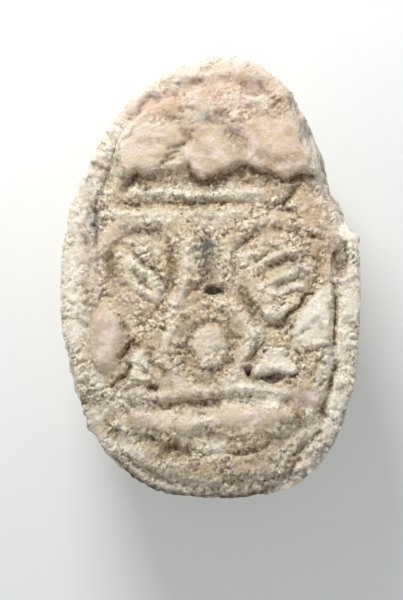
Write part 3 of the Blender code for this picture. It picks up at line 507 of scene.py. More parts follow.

# Stains and bleached places, with some painted shade and painted highlights among them: colour,
# strength, half width and course.
STAINS = (
    # Head end.
    ("blush", 0.75, 972, (-226,614, -39,678, 148,659, 260,566)),
    ("blush", 0.3, 748, (-77,510, 73,491, 279,454)),
    ("ochre", 0.16, 673, (193,528, 305,454)),
    ("ink", 0.8, 112, (286,734, 297,715, 305,701)),
    ("rose", 0.8, 374, (-309,592, -282,641, -226,715, -151,764, -39,809, 73,824, 185,794, 252,742)),
    ("blush", 0.4, 449, (-264,652, -170,719, -39,757, 110,764, 230,719)),
    ("chalk", 0.35, 524, (-264,510, -170,517)),
    ("ochre", 0.45, 187, (-260,495, -200,495)),
    ("chalk", 0.6, 150, (-260,469, -211,469)),
    ("olive", 0.4, 299, (-338,405, -271,386)),
    # Painted shadow below the step of the head crust, in blush, rust and umber.
    ("blush", 0.6, 262, (-324,338, -297,364, -256,364, -204,368, -144,390, -92,398)),
    ("blush", 0.6, 262, (-77,390, -21,356, 54,375, 95,398, 148,401, 223,375, 297,360, 365,371)),
    ("rust", 0.55, 187, (-324,338, -297,360, -256,356, -211,360)),
    ("rust", 0.55, 187, (-77,383, -21,349, 54,368)),
    ("rust", 0.55, 187, (95,390, 148,394, 223,368)),
    ("rust", 0.55, 150, (271,353, 316,364, 365,364)),
    ("umber", 0.35, 112, (-316,345, -294,360, -256,364, -219,364)),
    ("umber", 0.35, 127, (-73,390, -39,356, 6,353, 58,375)),
    ("umber", 0.35, 112, (103,398, 148,401, 200,379, 245,364)),
    ("ochre", 0.35, 337, (193,446, 305,450)),
    ("blush", 0.4, 299, (230,495, 327,487)),
    ("mauve", 0.7, 150, (-118,712, -77,712)),
    ("rust", 0.5, 112, (-73,727, -28,730)),
    ("mauve", 0.6, 168, (122,708, 193,708)),
    ("rust", 0.6, 112, (133,686, 178,686)),
    ("chalk", 0.6, 150, (133,667, 189,663)),
    ("rust", 0.5, 150, (245,656, 290,648)),
    ("mauve", 0.5, 299, (77,536, 133,487)),
    ("rust", 0.35, 150, (-103,543, -73,510)),
    ("olive", 0.6, 112, (43,600, 58,592)),
    ("slate", 0.7, 150, (290,607, 346,570, 357,543)),
    ("mauve", 0.55, 168, (-301,607, -249,648, -200,667)),
    ("rust", 0.4, 131, (-226,667, -178,682)),
    ("rust", 0.4, 150, (-286,607, -256,633)),
    ("mauve", 0.55, 262, (-21,614, 50,592, 80,547)),
    ("rust", 0.3, 187, (-39,614, 50,607)),
    ("rust", 0.35, 112, (-159,712, -99,734)),
    ("blush", 0.55, 636, (-189,667, 17,689, 223,674)),
    ("mauve", 0.22, 524, (-114,659, 110,659)),
    ("rust", 0.3, 150, (122,712, 193,689)),
    ("mauve", 0.4, 187, (103,525, 140,472)),
    ("rust", 0.25, 150, (-107,540, -99,487)),
    ("rust", 0.2, 150, (282,540, 327,502)),
    ("rose", 0.5, 262, (114,555, 133,480)),
    ("chalk", 0.75, 224, (-309,491, -226,517, -144,525)),
    ("chalk", 0.75, 187, (-294,435, -241,416, -189,454)),
    ("ochre", 0.5, 262, (-32,472, 13,435, 58,472)),
    ("rust", 0.18, 224, (-54,510, -17,465, 6,420)),
    ("chalk", 0.55, 150, (-77,442, -39,405)),
    ("chalk", 0.35, 150, (43,510, 80,472)),
    ("ochre", 0.55, 299, (208,450, 275,439, 327,450)),
    ("rust", 0.3, 187, (215,446, 275,435, 320,442)),
    ("ochre", 0.35, 337, (193,525, 282,510)),
    ("chalk", 0.35, 187, (178,555, 260,562)),
    ("rust", 0.35, 112, (-62,727, -13,719)),
    ("rust", 0.3, 150, (39,742, 80,734)),
    ("rust", 0.25, 299, (95,757, 193,734)),
    ("blush", 0.45, 449, (-133,659, 17,667, 129,622)),
    # The break on the right and the crust below it.
    ("chalk", 0.9, 224, (346,540, 372,472, 383,405)),
    ("shell", 0.95, 486, (417,472, 454,341, 499,248)),
    ("slate", 0.35, 187, (447,435, 477,323)),
    ("chalk", 1, 337, (496,188, 529,117)),
    ("chalk", 1, 224, (477,203, 514,166, 540,125)),
    ("ochre", 0.3, 449, (342,308, 380,240, 428,158)),
    ("rose", 0.35, 299, (380,315, 424,240, 469,166)),
    ("rust", 0.25, 187, (350,323, 395,263)),
    ("rust", 0.25, 150, (417,188, 462,136)),
    ("olive", 0.35, 150, (335,233, 368,192)),
    ("blush", 0.3, 561, (335,315, 380,240, 428,158)),
    ("umber", 0.8, 93, (324,334, 297,304, 275,274, 275,248, 316,244)),
    ("chalk", 0.8, 112, (294,267, 312,267)),
    # The left rim.
    ("chalk", 0.95, 337, (-357,555, -432,435, -488,285, -518,98, -522,-89, -511,-238)),
    ("rose", 0.35, 262, (-473,285, -492,98, -488,-89, -473,-276)),
    ("blush", 0.4, 224, (-458,136, -451,-89, -451,-201)),
    # Painted shade on the sloping outer edge at the lower left.
    ("slate", 0.8, 120, (-544,-283, -533,-358, -518,-433, -488,-537, -451,-620, -383,-702)),
    ("mauve", 0.75, 262, (-428,323, -439,173, -436,24, -443,-134)),
    ("blush", 0.35, 224, (-428,285, -439,136, -439,-89)),
    ("straw", 0.6, 97, (-398,323, -410,173, -410,53)),
    ("chalk", 0.6, 150, (-507,42, -511,-89, -499,-201)),
    ("umber", 0.35, 90, (-473,151, -462,140, -466,125)),
    ("umber", 0.35, 90, (-481,-33, -469,-51)),
    ("olive", 0.4, 112, (-488,-156, -466,-178)),
    ("ink", 1, 135, (-439,252, -436,237)),
    ("rust", 0.25, 224, (-436,300, -443,136, -439,-89)),
    ("slate", 0.8, 187, (-451,222, -424,196, -436,173)),
    ("ink", 0.7, 82, (-447,192, -432,184)),
    ("umber", 0.7, 67, (-402,196, -395,192)),
    ("umber", 0.6, 67, (-499,192, -492,188)),
    ("umber", 0.6, 112, (-439,413, -421,409)),
    ("ink", 0.6, 82, (-417,409, -406,405)),
    ("umber", 0.35, 187, (-395,80, -376,42, -353,-6)),
    ("olive", 0.5, 112, (-350,-107, -335,-107)),
    ("glaze", 0.95, 337, (-398,-156, -383,-238, -398,-321)),
    ("cream", 0.5, 337, (-406,-171, -391,-238, -402,-306)),
    ("chalk", 0.25, 187, (-413,-163, -410,-257, -413,-306)),
    ("blush", 0.25, 150, (-368,-201, -361,-257, -383,-306)),
    ("glaze", 0.8, 224, (-428,-182, -424,-294)),
    ("chalk", 0.45, 150, (-383,-145, -357,-167)),
    ("ochre", 0.4, 150, (-451,-261, -447,-328)),
    # Painted highlight at the lower edge of the side glaze.
    ("chalk", 0.7, 93, (-413,-317, -391,-317)),
    ("slate", 0.5, 224, (-473,-451, -417,-466)),
    ("umber", 0.6, 150, (-477,-459, -451,-466, -421,-466)),
    ("umber", 0.5, 112, (-447,-436, -439,-451)),
    # Painted highlight on the dark lump.
    ("cream", 0.9, 82, (-432,-455, -424,-455)),
    ("rust", 0.35, 150, (-533,-268, -529,-350)),
    # Bars, hoods and stem.
    # Pale top of the first bar, partly bleached and partly a painted highlight on its lit top.
    ("chalk", 0.5, 131, (-301,319, -189,312, 193,319)),
    ("rust", 0.4, 150, (223,263, 260,259)),
    ("chalk", 0.3, 262, (-338,203, -39,203, 223,214)),
    ("straw", 0.35, 131, (-346,226, -159,229, 110,237)),
    ("rust", 0.45, 150, (-211,169, -185,166)),
    ("olive", 0.5, 187, (-327,169, -226,162)),
    ("slate", 0.8, 299, (-13,128, -6,46)),
    ("mauve", 0.5, 299, (-6,39, -13,-21)),
    ("mauve", 0.35, 374, (-6,5, -6,-33)),
    ("mauve", 0.5, 150, (-294,91, -252,50, -226,31, -170,-10)),
    ("chalk", 0.45, 168, (-320,72, -264,24, -178,-51)),
    ("mauve", 0.7, 131, (226,31, 271,53, 316,61)),
    ("ochre", 0.5, 150, (391,1, 395,-51)),
    ("rust", 0.4, 150, (391,-59, 327,-107, 279,-145)),
    ("chalk", 0.75, 337, (335,-220, 380,-156, 417,-96, 439,-81)),
    ("chalk", 0.5, 112, (193,-51, 335,-33)),
    ("chalk", 0.5, 224, (196,-141, 290,-122)),
    ("ochre", 0.35, 224, (353,-291, 428,-291)),
    ("ochre", 0.5, 150, (335,-399, 372,-395)),
    ("mauve", 0.4, 337, (335,-444, 395,-481)),
    # The right rim.
    # Painted highlight on the lit inner wall of the right rim.
    ("straw", 0.75, 120, (484,-51, 488,-201, 484,-294, 477,-380, 462,-463, 443,-537, 424,-590)),
    ("rust", 0.8, 187, (466,95, 477,53, 484,27)),
    ("umber", 0.7, 127, (477,72, 481,31)),
    ("rust", 0.5, 150, (447,98, 477,72, 503,53)),
    ("chalk", 1, 299, (522,53, 522,-89, 518,-238, 507,-369, 477,-470, 447,-545)),
    # Painted shade on the sloping outer edge of the right rim.
    ("slate", 0.3, 150, (555,-257, 540,-350, 514,-444, 481,-556, 428,-638)),
    ("ochre", 0.4, 112, (518,-33, 533,-59)),
    ("straw", 0.7, 97, (503,-111, 518,-141)),
    ("umber", 0.35, 82, (529,-171, 518,-190)),
    ("straw", 0.7, 97, (499,-223, 511,-249)),
    ("ochre", 0.4, 112, (522,-298, 507,-321)),
    ("straw", 0.6, 97, (488,-358, 496,-388)),
    ("umber", 0.35, 82, (499,-425, 484,-440)),
    # Tents, basket and tail end.
    ("chalk", 0.55, 224, (208,-291, 279,-321, 320,-354)),
    ("chalk", 0.55, 187, (110,-410, 193,-421, 279,-436)),
    ("olive", 0.4, 150, (-234,-291, -211,-328, -196,-365)),
    ("umber", 0.6, 127, (-185,-347, -170,-365)),
    ("chalk", 0.7, 150, (-294,-365, -256,-362)),
    ("rust", 0.35, 187, (-324,-253, -290,-261, -316,-298)),
    ("umber", 0.5, 150, (-290,-246, -309,-276, -331,-302)),
    ("rust", 0.3, 112, (-226,-261, -211,-276)),
    ("umber", 0.6, 97, (-226,-410, -211,-418)),
    ("umber", 0.6, 97, (-297,-339, -331,-377, -368,-418)),
    ("mauve", 0.4, 187, (-226,-358, -204,-388)),
    ("mauve", 0.35, 224, (-133,-313, -122,-365)),
    ("umber", 0.5, 150, (2,-350, 17,-373)),
    ("olive", 0.35, 224, (-346,-283, -316,-268)),
    ("mauve", 0.3, 262, (148,-560, 245,-526)),
    ("cream", 0.5, 224, (58,-508, 193,-496)),
    ("rust", 0.6, 90, (324,-489, 324,-526, 309,-552)),
    ("olive", 0.3, 224, (275,-493, 297,-522)),
    ("ochre", 0.45, 187, (65,-500, 103,-522, 95,-552)),
    ("ochre", 0.4, 150, (178,-556, 223,-545)),
    ("olive", 0.35, 187, (215,-508, 260,-522)),
    ("chalk", 0.5, 93, (43,-489, 95,-481)),
    ("chalk", 0.4, 112, (193,-485, 245,-481)),
    ("mauve", 0.3, 224, (-264,-545, -196,-560)),
    ("straw", 0.35, 150, (-122,-537, -69,-545)),
    ("ochre", 0.4, 150, (-166,-530, -129,-556)),
    ("chalk", 0.5, 93, (-189,-519, -144,-515)),
    ("blush", 0.4, 224, (-275,-508, -226,-530)),
    # Painted highlights on the two basket lobes.
    ("chalk", 0.55, 150, (-50,-541, 13,-534)),
    ("chalk", 0.5, 112, (125,-519, 170,-519)),
    ("rust", 0.6, 187, (324,-508, 327,-545)),
    ("slate", 0.5, 224, (-338,-425, -264,-440)),
    ("slate", 0.5, 224, (-286,-586, -215,-594)),
    ("slate", 0.4, 224, (-36,-594, 13,-601)),
    ("mauve", 0.6, 150, (-47,-388, -9,-410)),
    ("rust", 0.4, 150, (-178,-380, -155,-403)),
    ("ochre", 0.5, 187, (-398,-526, -391,-560)),
    ("olive", 0.5, 187, (-368,-582, -350,-597)),
    ("olive", 0.35, 224, (-368,-481, -297,-474)),
    ("umber", 0.55, 224, (-159,-657, -114,-661, -88,-650)),
    ("chalk", 0.4, 187, (-181,-695, -133,-706, -84,-702)),
    ("chalk", 0.4, 299, (-9,-642, 43,-657)),
    ("umber", 0.16, 748, (-226,-657, 36,-709, 297,-650)),
    ("straw", 0.6, 97, (-54,-676, -28,-683)),
    ("straw", 0.6, 90, (95,-680, 122,-676)),
    ("straw", 0.55, 97, (-226,-695, -204,-706)),
    ("straw", 0.5, 90, (230,-702, 256,-695)),
    ("straw", 0.5, 82, (-129,-747, -99,-751)),
    ("straw", 0.5, 82, (28,-739, 50,-743)),
    ("ochre", 0.4, 224, (-47,-717, 13,-709)),
    ("ochre", 0.4, 224, (148,-732, 193,-717)),
    ("umber", 0.45, 112, (65,-709, 88,-724)),
    ("umber", 0.45, 112, (-77,-728, -54,-739)),
    ("olive", 0.2, 262, (-50,-777, 9,-781)),
    # Painted shade along the sloping outer edge at the tail end and the lower right, in olive, slate
    # and umber.
    ("olive", 0.7, 127, (-407,-644, -334,-714, -260,-770, -186,-800, -76,-814, 17,-818, 109,-814,
        183,-803, 293,-766)),
    ("slate", 1, 157, (-486,-528, -450,-595, -406,-639, -369,-676, -332,-709, -296,-739, -259,-764,
        -223,-783, -186,-794, -149,-801, -75,-809, 17,-812, 109,-809, 182,-798, 256,-776, 329,-739)),
    ("umber", 0.9, 120, (-408,-649, -371,-683, -334,-716, -297,-746, -260,-772, -224,-790, -187,-801,
        -150,-811, -76,-818, 17,-820, 109,-816, 183,-805, 239,-790)),
    ("slate", 0.7, 168, (296,-762, 341,-736, 393,-695, 437,-650, 475,-598, 500,-539, 515,-482)),
    ("chalk", 0.6, 82, (-264,-728, -170,-766, -77,-782, 17,-788, 148,-782, 223,-766)),
)

# Places where glaze or hard crust lies smooth: strength, half width and course.
SMOOTH_PLACES = (
    (1, 411, (-398,-156, -383,-238, -398,-321)),
    (0.6, 337, (-282,-515, -189,-537, -58,-552)),
    (0.75, 449, (17,-522, 148,-541, 279,-522)),
    (0.45, 524, (335,315, 380,240, 428,158)),
    (0.6, 224, (-50,-777, 9,-781)),
    (0.8, 449, (417,472, 454,341, 499,248)),
    (0.6, 898, (-226,614, -39,678, 148,659, 260,566)),
    (0.7, 748, (-264,480, 260,480)),
    (0.6, 524, (-114,753, 110,787, 223,734)),
    (0.5, 449, (-413,435, -473,285, -503,136, -507,-51, -488,-238)),
    (0.15, 299, (522,53, 522,-89, 518,-238, 499,-369, 462,-500)),
)

# Places speckled with dark soil: strength, half width and course.
SOIL_PLACES = (
    (0.8, 224, (103,-44, 140,-107, 178,-156)),
    (0.6, 224, (193,169, 114,113)),
    (0.5, 299, (223,42, 316,53, 402,80)),
    (0.7, 224, (-148,98, -144,24, -163,-51)),
    (0.5, 262, (-320,173, -208,162)),
    (0.5, 224, (-338,274, -2,270)),
    (0.4, 262, (-395,80, -357,-14)),
    (0.5, 299, (-9,98, -13,-14)),
    (0.5, 224, (-47,-33, -88,-81)),
    (0.55, 262, (-88,-163, -103,-257, -103,-321)),
    (0.55, 262, (65,-145, 80,-238, 77,-313)),
    (0.6, 299, (-21,-365, 9,-388)),
    (0.8, 187, (215,-186, 297,-171)),
    (0.7, 187, (178,-264, 144,-343)),
    (1, 187, (185,-377, 275,-377)),
    (0.7, 150, (275,-380, 320,-377)),
    (0.5, 224, (193,-403, 260,-395)),
    (0.9, 187, (-286,-246, -331,-306)),
    (0.9, 150, (-309,-365, -365,-410)),
    (0.5, 187, (-312,-403, -196,-418)),
    (0.6, 262, (-226,-481, 43,-474)),
    (0.5, 187, (271,-474, 342,-478)),
    (0.6, 224, (271,-556, 335,-530)),
    (0.5, 299, (-282,-601, -208,-601)),
    (0.8, 337, (-178,-661, -84,-650)),
    (0.35, 524, (73,-668, 193,-687, 260,-650)),
    (0.35, 524, (-226,-724, -39,-754, 148,-754)),
    (0.5, 224, (-368,-582, -338,-612)),
    (0.6, 299, (-473,-455, -413,-463)),
    (0.9, 187, (-316,360, -271,353, -234,323)),
    (0.5, 224, (-208,368, -144,360)),
    (0.9, 224, (-84,379, -39,345, 13,338)),
    (0.9, 224, (58,375, 110,398, 193,379)),
    (0.6, 187, (193,368, 245,353)),
    (0.9, 224, (309,379, 372,375)),
    (0.3, 337, (-226,345, 297,345)),
    (0.6, 150, (413,-556, 335,-646, 301,-695)),
    (0.9, 187, (469,80, 484,31)),
)


# Sizes and colours that a user would change.


def length(name, text, default, low=0.0, high=1.0):
    return FloatProperty(
        name=name, description=text, default=default, min=low, max=high, subtype="DISTANCE",
        unit="LENGTH", precision=6,
    )


def share(name, text, default, high=4.0):
    return FloatProperty(
        name=name, description=text, default=default, min=0.0, max=high, subtype="FACTOR"
    )


def colour(name, text, default):
    return FloatVectorProperty(
        name=name, description=text, default=default, size=3, min=0.0, max=1.0, subtype="COLOR"
    )


def place(name, text, default):
    return FloatVectorProperty(
        name=name, description=text, default=default, size=3, subtype="TRANSLATION", unit="LENGTH",
        precision=6,
    )


class ScarabSizes(bpy.types.PropertyGroup):
    """Sizes of the stone's relief and wear."""

    skin_step: length("Skin step", "Distance between the points of the stone's skin", 0.05 * MM)
    most_triangles: IntProperty(
        name="Most triangles", description="Triangles left on the finished stone", default=188000,
        min=1000,
    )
    softening: IntProperty(
        name="Softening", description="Rounds of wear that soften the solid's own lines", default=14,
        min=0,
    )
    carving: share("Carving", "Strength of the hand-cut lines and lumps", 1.0)
    wander: length("Wander", "How far cut lines wander from their course", 0.05 * MM)
    lumps: length("Lumps", "Height of the broad lumps of crust on the seal face", 0.04 * MM)
    grit: length("Grit", "Height of the grit on the seal face", 0.034 * MM)
    crumbs: length("Crumbs", "Height of the crumbs of crust on the seal face", 0.06 * MM)
    grains: length("Grains", "Height of the single grains on the seal face", 0.045 * MM)
    weathering: length("Weathering", "Unevenness of the sides and back", 0.06 * MM)
    ragged: length("Ragged", "Unevenness of the rim's outline", 0.09 * MM)
    deepest: length("Deepest", "Most that a hollow sinks below the solid's own surface", 0.3 * MM)


class ScarabColours(bpy.types.PropertyGroup):
    """Colours of the stone, its crust and its stains; umber, olive, slate, rust and blush also paint
    shade, and chalk, straw and cream also paint highlights.
    """

    field: colour("Field", "Dry soapstone of the carved field", (0.64, 0.54, 0.385))
    shell: colour("Shell", "Pale worn stone of the rim, sides and back", (0.72, 0.655, 0.55))
    chalk: colour("Chalk", "Bleached high spots", (0.97, 0.92, 0.80))
    cream: colour("Cream", "Pale burial crust", (0.80, 0.645, 0.50))
    straw: colour("Straw", "Yellowish bleached crumbs and edges", (0.96, 0.88, 0.68))
    rose: colour("Rose", "Pale pinkish crust at the edge", (0.91, 0.745, 0.67))
    blush: colour("Blush", "Pinkish burial crust", (0.66, 0.465, 0.35))
    glaze: colour("Glaze", "Pools of old glaze", (0.57, 0.475, 0.38))
    ochre: colour("Ochre", "Yellow-brown stain", (0.56, 0.40, 0.21))
    olive: colour("Olive", "Greenish brown soil", (0.27, 0.195, 0.10))
    umber: colour("Umber", "Dark soil in the cuts", (0.10, 0.062, 0.034))
    mauve: colour("Mauve", "Purplish grey stain", (0.33, 0.25, 0.23))
    slate: colour("Slate", "Bluish grey stain", (0.30, 0.30, 0.29))
    rust: colour("Rust", "Reddish brown stain", (0.30, 0.17, 0.10))
    ink: colour("Ink", "Nearly black specks", (0.03, 0.028, 0.03))


class ScarabStage(bpy.types.PropertyGroup):
    """Floor, light and camera."""

    floor_size: length("Floor size", "Side of the pale floor", 0.9, high=5.0)
    floor_colour: colour("Floor colour", "Pale floor", (0.86, 0.875, 0.88))
    lamp_power: FloatProperty(
        name="Lamp power", description="Power of the soft lamp", default=0.035, min=0.0, unit="POWER"
    )
    lamp_size: length("Lamp size", "Side of the soft lamp", 0.024)
    lamp_place: place("Lamp place", "Place of the soft lamp", (-0.0157, 0.0496, 0.042))
    surround: share("Surround", "Strength of the even light from all sides", 0.57)
    lens: FloatProperty(name="Lens", description="Focal length in mm", default=180.0, min=20.0)
    camera_place: place(
        "Camera place", "Place of the camera, which looks straight down", (-0.000337, -0.000886, 0.1196)
    )


# Working on the skin of the stone.


def only(obj):
    """Selects one object and nothing else."""
    if bpy.context.object and bpy.context.object.mode != "OBJECT":
        bpy.ops.object.mode_set(mode="OBJECT")
    bpy.ops.object.select_all(action="DESELECT")
    obj.select_set(True)
    bpy.context.view_layer.objects.active = obj


def apply_modifier(obj, kind, name, **settings):
    """Adds a modifier, sets it and applies it."""
    only(obj)
    modifier = obj.modifiers.new(name, kind)
    for key, value in settings.items():
        setattr(modifier, key, value)
    bpy.ops.object.modifier_apply(modifier=modifier.name)


def wrapped_stone(needed=None):
    """The stone's skin; an error if it, or the layer that is needed, hasn't been made yet."""
    stone = bpy.data.objects.get(STONE)
    if stone is None:
        raise RuntimeError("the stone has to be wrapped first")
    if needed and needed not in stone.data.attributes:
        raise RuntimeError("the seal face has to be carved first")
    return stone


def vectors(obj, kind):
    """The place ("co") or outward direction ("normal") of each point of the skin, in metres."""
    flat = np.empty(len(obj.data.vertices) * 3, dtype=np.float32)
    obj.data.vertices.foreach_get(kind, flat)
    return flat.reshape(-1, 3).astype(np.float64)


def places(obj):
    """All points of the skin in millimetres."""
    return vectors(obj, "co") / MM


def put_places(obj, points):
    """Moves the skin, keeping it inside the solid's own box."""
    low, high = np.array(LOW) / MM, np.array(HIGH) / MM
    kept = np.clip(points, low, high) * MM
    obj.data.vertices.foreach_set("co", kept.astype(np.float32).ravel())
    obj.data.update()


def edge_pairs(obj):
    """The two points of every edge of the skin."""
    pairs = np.empty(len(obj.data.edges) * 2, dtype=np.int32)
    obj.data.edges.foreach_get("vertices", pairs)
    return pairs.reshape(-1, 2)


def layer_named(obj, name, kind):
    """The mesh's layer of that name, made if it isn't there yet."""
    return obj.data.attributes.get(name) or obj.data.attributes.new(name, kind, "POINT")


def store(obj, name, values):
    """Keeps one number per point on the mesh, for the material."""
    layer_named(obj, name, "FLOAT").data.foreach_set("value", values.astype(np.float32))


def stored(obj, name):
    """The numbers that store() kept on the mesh."""
    values = np.empty(len(obj.data.vertices), dtype=np.float32)
    obj.data.attributes[name].data.foreach_get("value", values)
    return values


def store_colour(obj, name, values):
    """Keeps one colour per point on the mesh, for the material."""
    full = np.ones((len(values), 4), dtype=np.float32)
    full[:, :3] = np.clip(values, 0, 1)
    layer_named(obj, name, "FLOAT_COLOR").data.foreach_set("color", full.ravel())


def relaxed(points, pairs, rounds):
    """The points after each has moved to the middle of its neighbours, round after round."""
    count = len(points)
    first, second = pairs[:, 0], pairs[:, 1]
    degree = np.bincount(first, minlength=count) + np.bincount(second, minlength=count)
    degree = np.maximum(degree, 1)
    current = points.copy()
    for _ in range(rounds):
        total = np.empty_like(current)
        for axis in range(3):
            column = current[:, axis]
            total[:, axis] = np.bincount(first, column[second], count)
            total[:, axis] += np.bincount(second, column[first], count)
        current = (1 - WEAR_PER_ROUND) * current + WEAR_PER_ROUND * total / degree[:, None]
    return current


# Smooth steps, uneven values and crumbs. A seed sets the dice, so each run throws the same.


def ramp(values, low, high):
    """0 below low, 1 above high, and smooth between."""
    part = np.clip((values - low) / (high - low), 0, 1)
    return part * part * (3 - 2 * part)


def unevenness(plan, size, seed):
    """Smooth uneven values between -1 and 1, whose lumps are about one size across."""
    table = np.random.default_rng(seed).uniform(-1, 1, (GRID, GRID))
    turn = 0.7 * seed
    x = (plan[:, 0] * math.cos(turn) - plan[:, 1] * math.sin(turn)) / size
    y = (plan[:, 0] * math.sin(turn) + plan[:, 1] * math.cos(turn)) / size
    i, j = np.floor(x).astype(int), np.floor(y).astype(int)
    u, v = x - i, y - j
    u, v = u * u * (3 - 2 * u), v * v * (3 - 2 * v)
    a, b = table[i % GRID, j % GRID], table[(i + 1) % GRID, j % GRID]
    c, d = table[i % GRID, (j + 1) % GRID], table[(i + 1) % GRID, (j + 1) % GRID]
    return (a * (1 - u) + b * u) * (1 - v) + (c * (1 - u) + d * u) * v


def uneven_pair(plan, size, finer, strength, seed):
    """Uneven values of one size with finer ones of some strength on top."""
    return unevenness(plan, size, seed) + strength * unevenness(plan, finer, seed + 1)


def crumbs(plan, size, seed):
    """Packed crumbs about one size across, each with its own height from -1 to 1, creased between."""
    dice = np.random.default_rng(seed)
    jitter, level = dice.uniform(0, 1, (GRID, GRID, 2)), dice.uniform(-1, 1, (GRID, GRID))
    spots = plan / size
    cell = np.floor(spots).astype(int)
    nearest, next_nearest = np.full(len(plan), 9.0), np.full(len(plan), 9.0)
    height = np.zeros(len(plan))
    for across in (-1, 0, 1):
        for along in (-1, 0, 1):
            i, j = cell[:, 0] + across, cell[:, 1] + along
            centre = np.stack((i, j), axis=1) + jitter[i % GRID, j % GRID]
            gap = np.hypot(*(centre - spots).T)
            closer = gap < nearest
            next_nearest = np.minimum(next_nearest, np.where(closer, nearest, gap))
            height = np.where(closer, level[i % GRID, j % GRID], height)
            nearest = np.minimum(nearest, gap)
    return (height + 0.5) * ramp(next_nearest - nearest, 0.0, 0.4) - 0.5


def crumbly(plan):
    """Large crumbs with small ones among them."""
    return crumbs(plan, 0.3, 6) + 0.6 * crumbs(plan, 0.16, 7)


# Lines and outlines drawn on the seal face.


def drawn(numbers):
    """A table's course or outline as points in millimetres."""
    return np.array(numbers).reshape(-1, 2) / COURSE_UNIT


def box_round(plan, line, reach):
    """Which points of the plan lie in the line's own box, widened by the reach."""
    return np.all((plan > line.min(axis=0) - reach) & (plan < line.max(axis=0) + reach), axis=1)


def gap_squared(spots, start, end):
    """The squared distance from each spot to the straight piece between two points."""
    along = end - start
    part = np.clip(((spots - start) @ along) / max(along @ along, TINY), 0, 1)
    gap = spots - start - part[:, None] * along
    return (gap * gap).sum(axis=1)


def nearness(plan, course, width):
    """1 on the course, fading to nothing about two widths away from it."""
    line, width = drawn(course), width / SIZE_UNIT
    near = box_round(plan, line, FADE_REACH * width)
    spots = plan[near]
    best = np.full(len(spots), np.inf)
    for start, end in zip(line, line[1:]):
        best = np.minimum(best, gap_squared(spots, start, end))
    found = np.zeros(len(plan))
    found[near] = np.exp(-best / width**2)
    return found


def within(plan, outline, edge):
    """1 inside the outline and 0 outside it, with a smooth step across its edge."""
    line, edge = drawn(outline), edge / SIZE_UNIT
    near = box_round(plan, line, edge)
    spots = plan[near]
    inside = np.zeros(len(spots), dtype=bool)
    best = np.full(len(spots), np.inf)
    for start, end in zip(line, np.roll(line, -1, axis=0)):
        along = end - start
        crosses = (start[1] > spots[:, 1]) != (end[1] > spots[:, 1])
        meets = start[0] + (spots[:, 1] - start[1]) * along[0] / (along[1] or TINY)
        inside ^= crosses & (spots[:, 0] < meets)
        best = np.minimum(best, gap_squared(spots, start, end))
    found = np.zeros(len(plan))
    found[near] = ramp(np.where(inside, 1, -1) * np.sqrt(best), -edge, edge)
    return found


def strongest(plan, rows, unit=1):
    """The largest strength that any of the rows has at each point, fading away from its course."""
    found = np.zeros(len(plan))
    for strength, width, course in rows:
        found = np.maximum(found, strength / unit * nearness(plan, course, width))
    return found


def wandering(plan, far):
    """The plan, shifted unevenly, so that lines drawn on it wander."""
    shifted = plan.copy()
    for axis in (0, 1):
        drift = unevenness(plan, 0.42, 11 + axis) + 0.6 * unevenness(plan, 0.17, 21 + axis)
        shifted[:, axis] += far * drift
    return shifted


def on_seal(points, facing):
    """1 on the seal face, 0 on the sides and back."""
    return ramp(points[:, 2], *FACE_LEVEL) * ramp(facing[:, 2], *FACE_UPWARD)


def in_string_hole(points, facing):
    """1 on the wall of the string hole, 0 everywhere else."""
    across = 1 - ramp(np.abs(points[:, 0]), *HOLE_SIDES)
    level = ramp(points[:, 2], *HOLE_BOTTOM) * (1 - ramp(points[:, 2], *HOLE_TOP))
    wall = 1 - ramp(np.abs(facing[:, 1]), *HOLE_END_ON)
    return across * level * wall * (np.abs(points[:, 1]) < HOLE_HALF_LENGTH)


def gritty_places(plan):
    """1 where loose grit has gathered and 0 where the stone is bare, in uneven patches."""
    return ramp(uneven_pair(plan, 0.55, 0.27, 0.7, 71), -0.7, 0.8)


class SCARAB_OT_skin(bpy.types.Operator):
    """Wraps the plain solid in one fine even skin, coarser where the seal face isn't."""

    bl_idname = "scarab.skin"
    bl_label = "Wrap the stone"

    def execute(self, context):
        sizes = context.scene.scarab_sizes
        only(BODY)
        bpy.ops.object.duplicate()
        stone = context.object
        stone.name = stone.data.name = STONE
        stone.parent = None
        stone.modifiers.clear()
        for x, y, half_width, half_length, level in SOIL_PLUGS:
            bpy.ops.mesh.primitive_uv_sphere_add(
                segments=24, ring_count=12, location=(x * MM, y * MM, (level - PLUG_DEPTH) * MM)
            )
            context.object.scale = (half_width * MM, half_length * MM, PLUG_DEPTH * MM)
            bpy.ops.object.transform_apply(location=True, rotation=True, scale=True)
            stone.select_set(True)
            context.view_layer.objects.active = stone
            bpy.ops.object.join()
        only(stone)
        bpy.ops.object.mode_set(mode="EDIT")
        bpy.ops.mesh.select_all(action="SELECT")
        bpy.ops.mesh.remove_doubles(threshold=MERGE_DISTANCE * MM)
        bpy.ops.object.mode_set(mode="OBJECT")
        apply_modifier(
            stone, "REMESH", "skin", mode="VOXEL", voxel_size=sizes.skin_step, adaptivity=0.0
        )
        points, facing = places(stone), vectors(stone, "normal")
        beyond = 1 - ramp(points[:, 2], *BEYOND_LEVEL) * ramp(facing[:, 2], *BEYOND_UPWARD)
        group = stone.vertex_groups.new(name="beyond_seal")
        for step in range(1, GROUP_STEPS + 1):
            chosen = np.nonzero(np.rint(beyond * GROUP_STEPS) == step)[0]
            if len(chosen):
                group.add(chosen.tolist(), step / GROUP_STEPS, "REPLACE")
        apply_modifier(
            stone, "CORRECTIVE_SMOOTH", "softening", iterations=SOFTENING_ROUNDS, use_only_smooth=True,
            factor=0.5,
        )
        count = sum(len(face.vertices) - 2 for face in stone.data.polygons)
        if count > sizes.most_triangles:
            apply_modifier(
                stone, "DECIMATE", "coarser back", decimate_type="COLLAPSE",
                ratio=sizes.most_triangles / count, vertex_group=group.name,
                vertex_group_factor=BACK_THINNING, use_collapse_triangulate=True,
            )
        if not stone.data.polygons:
            raise RuntimeError("the stone lost its skin")
        return {"FINISHED"}


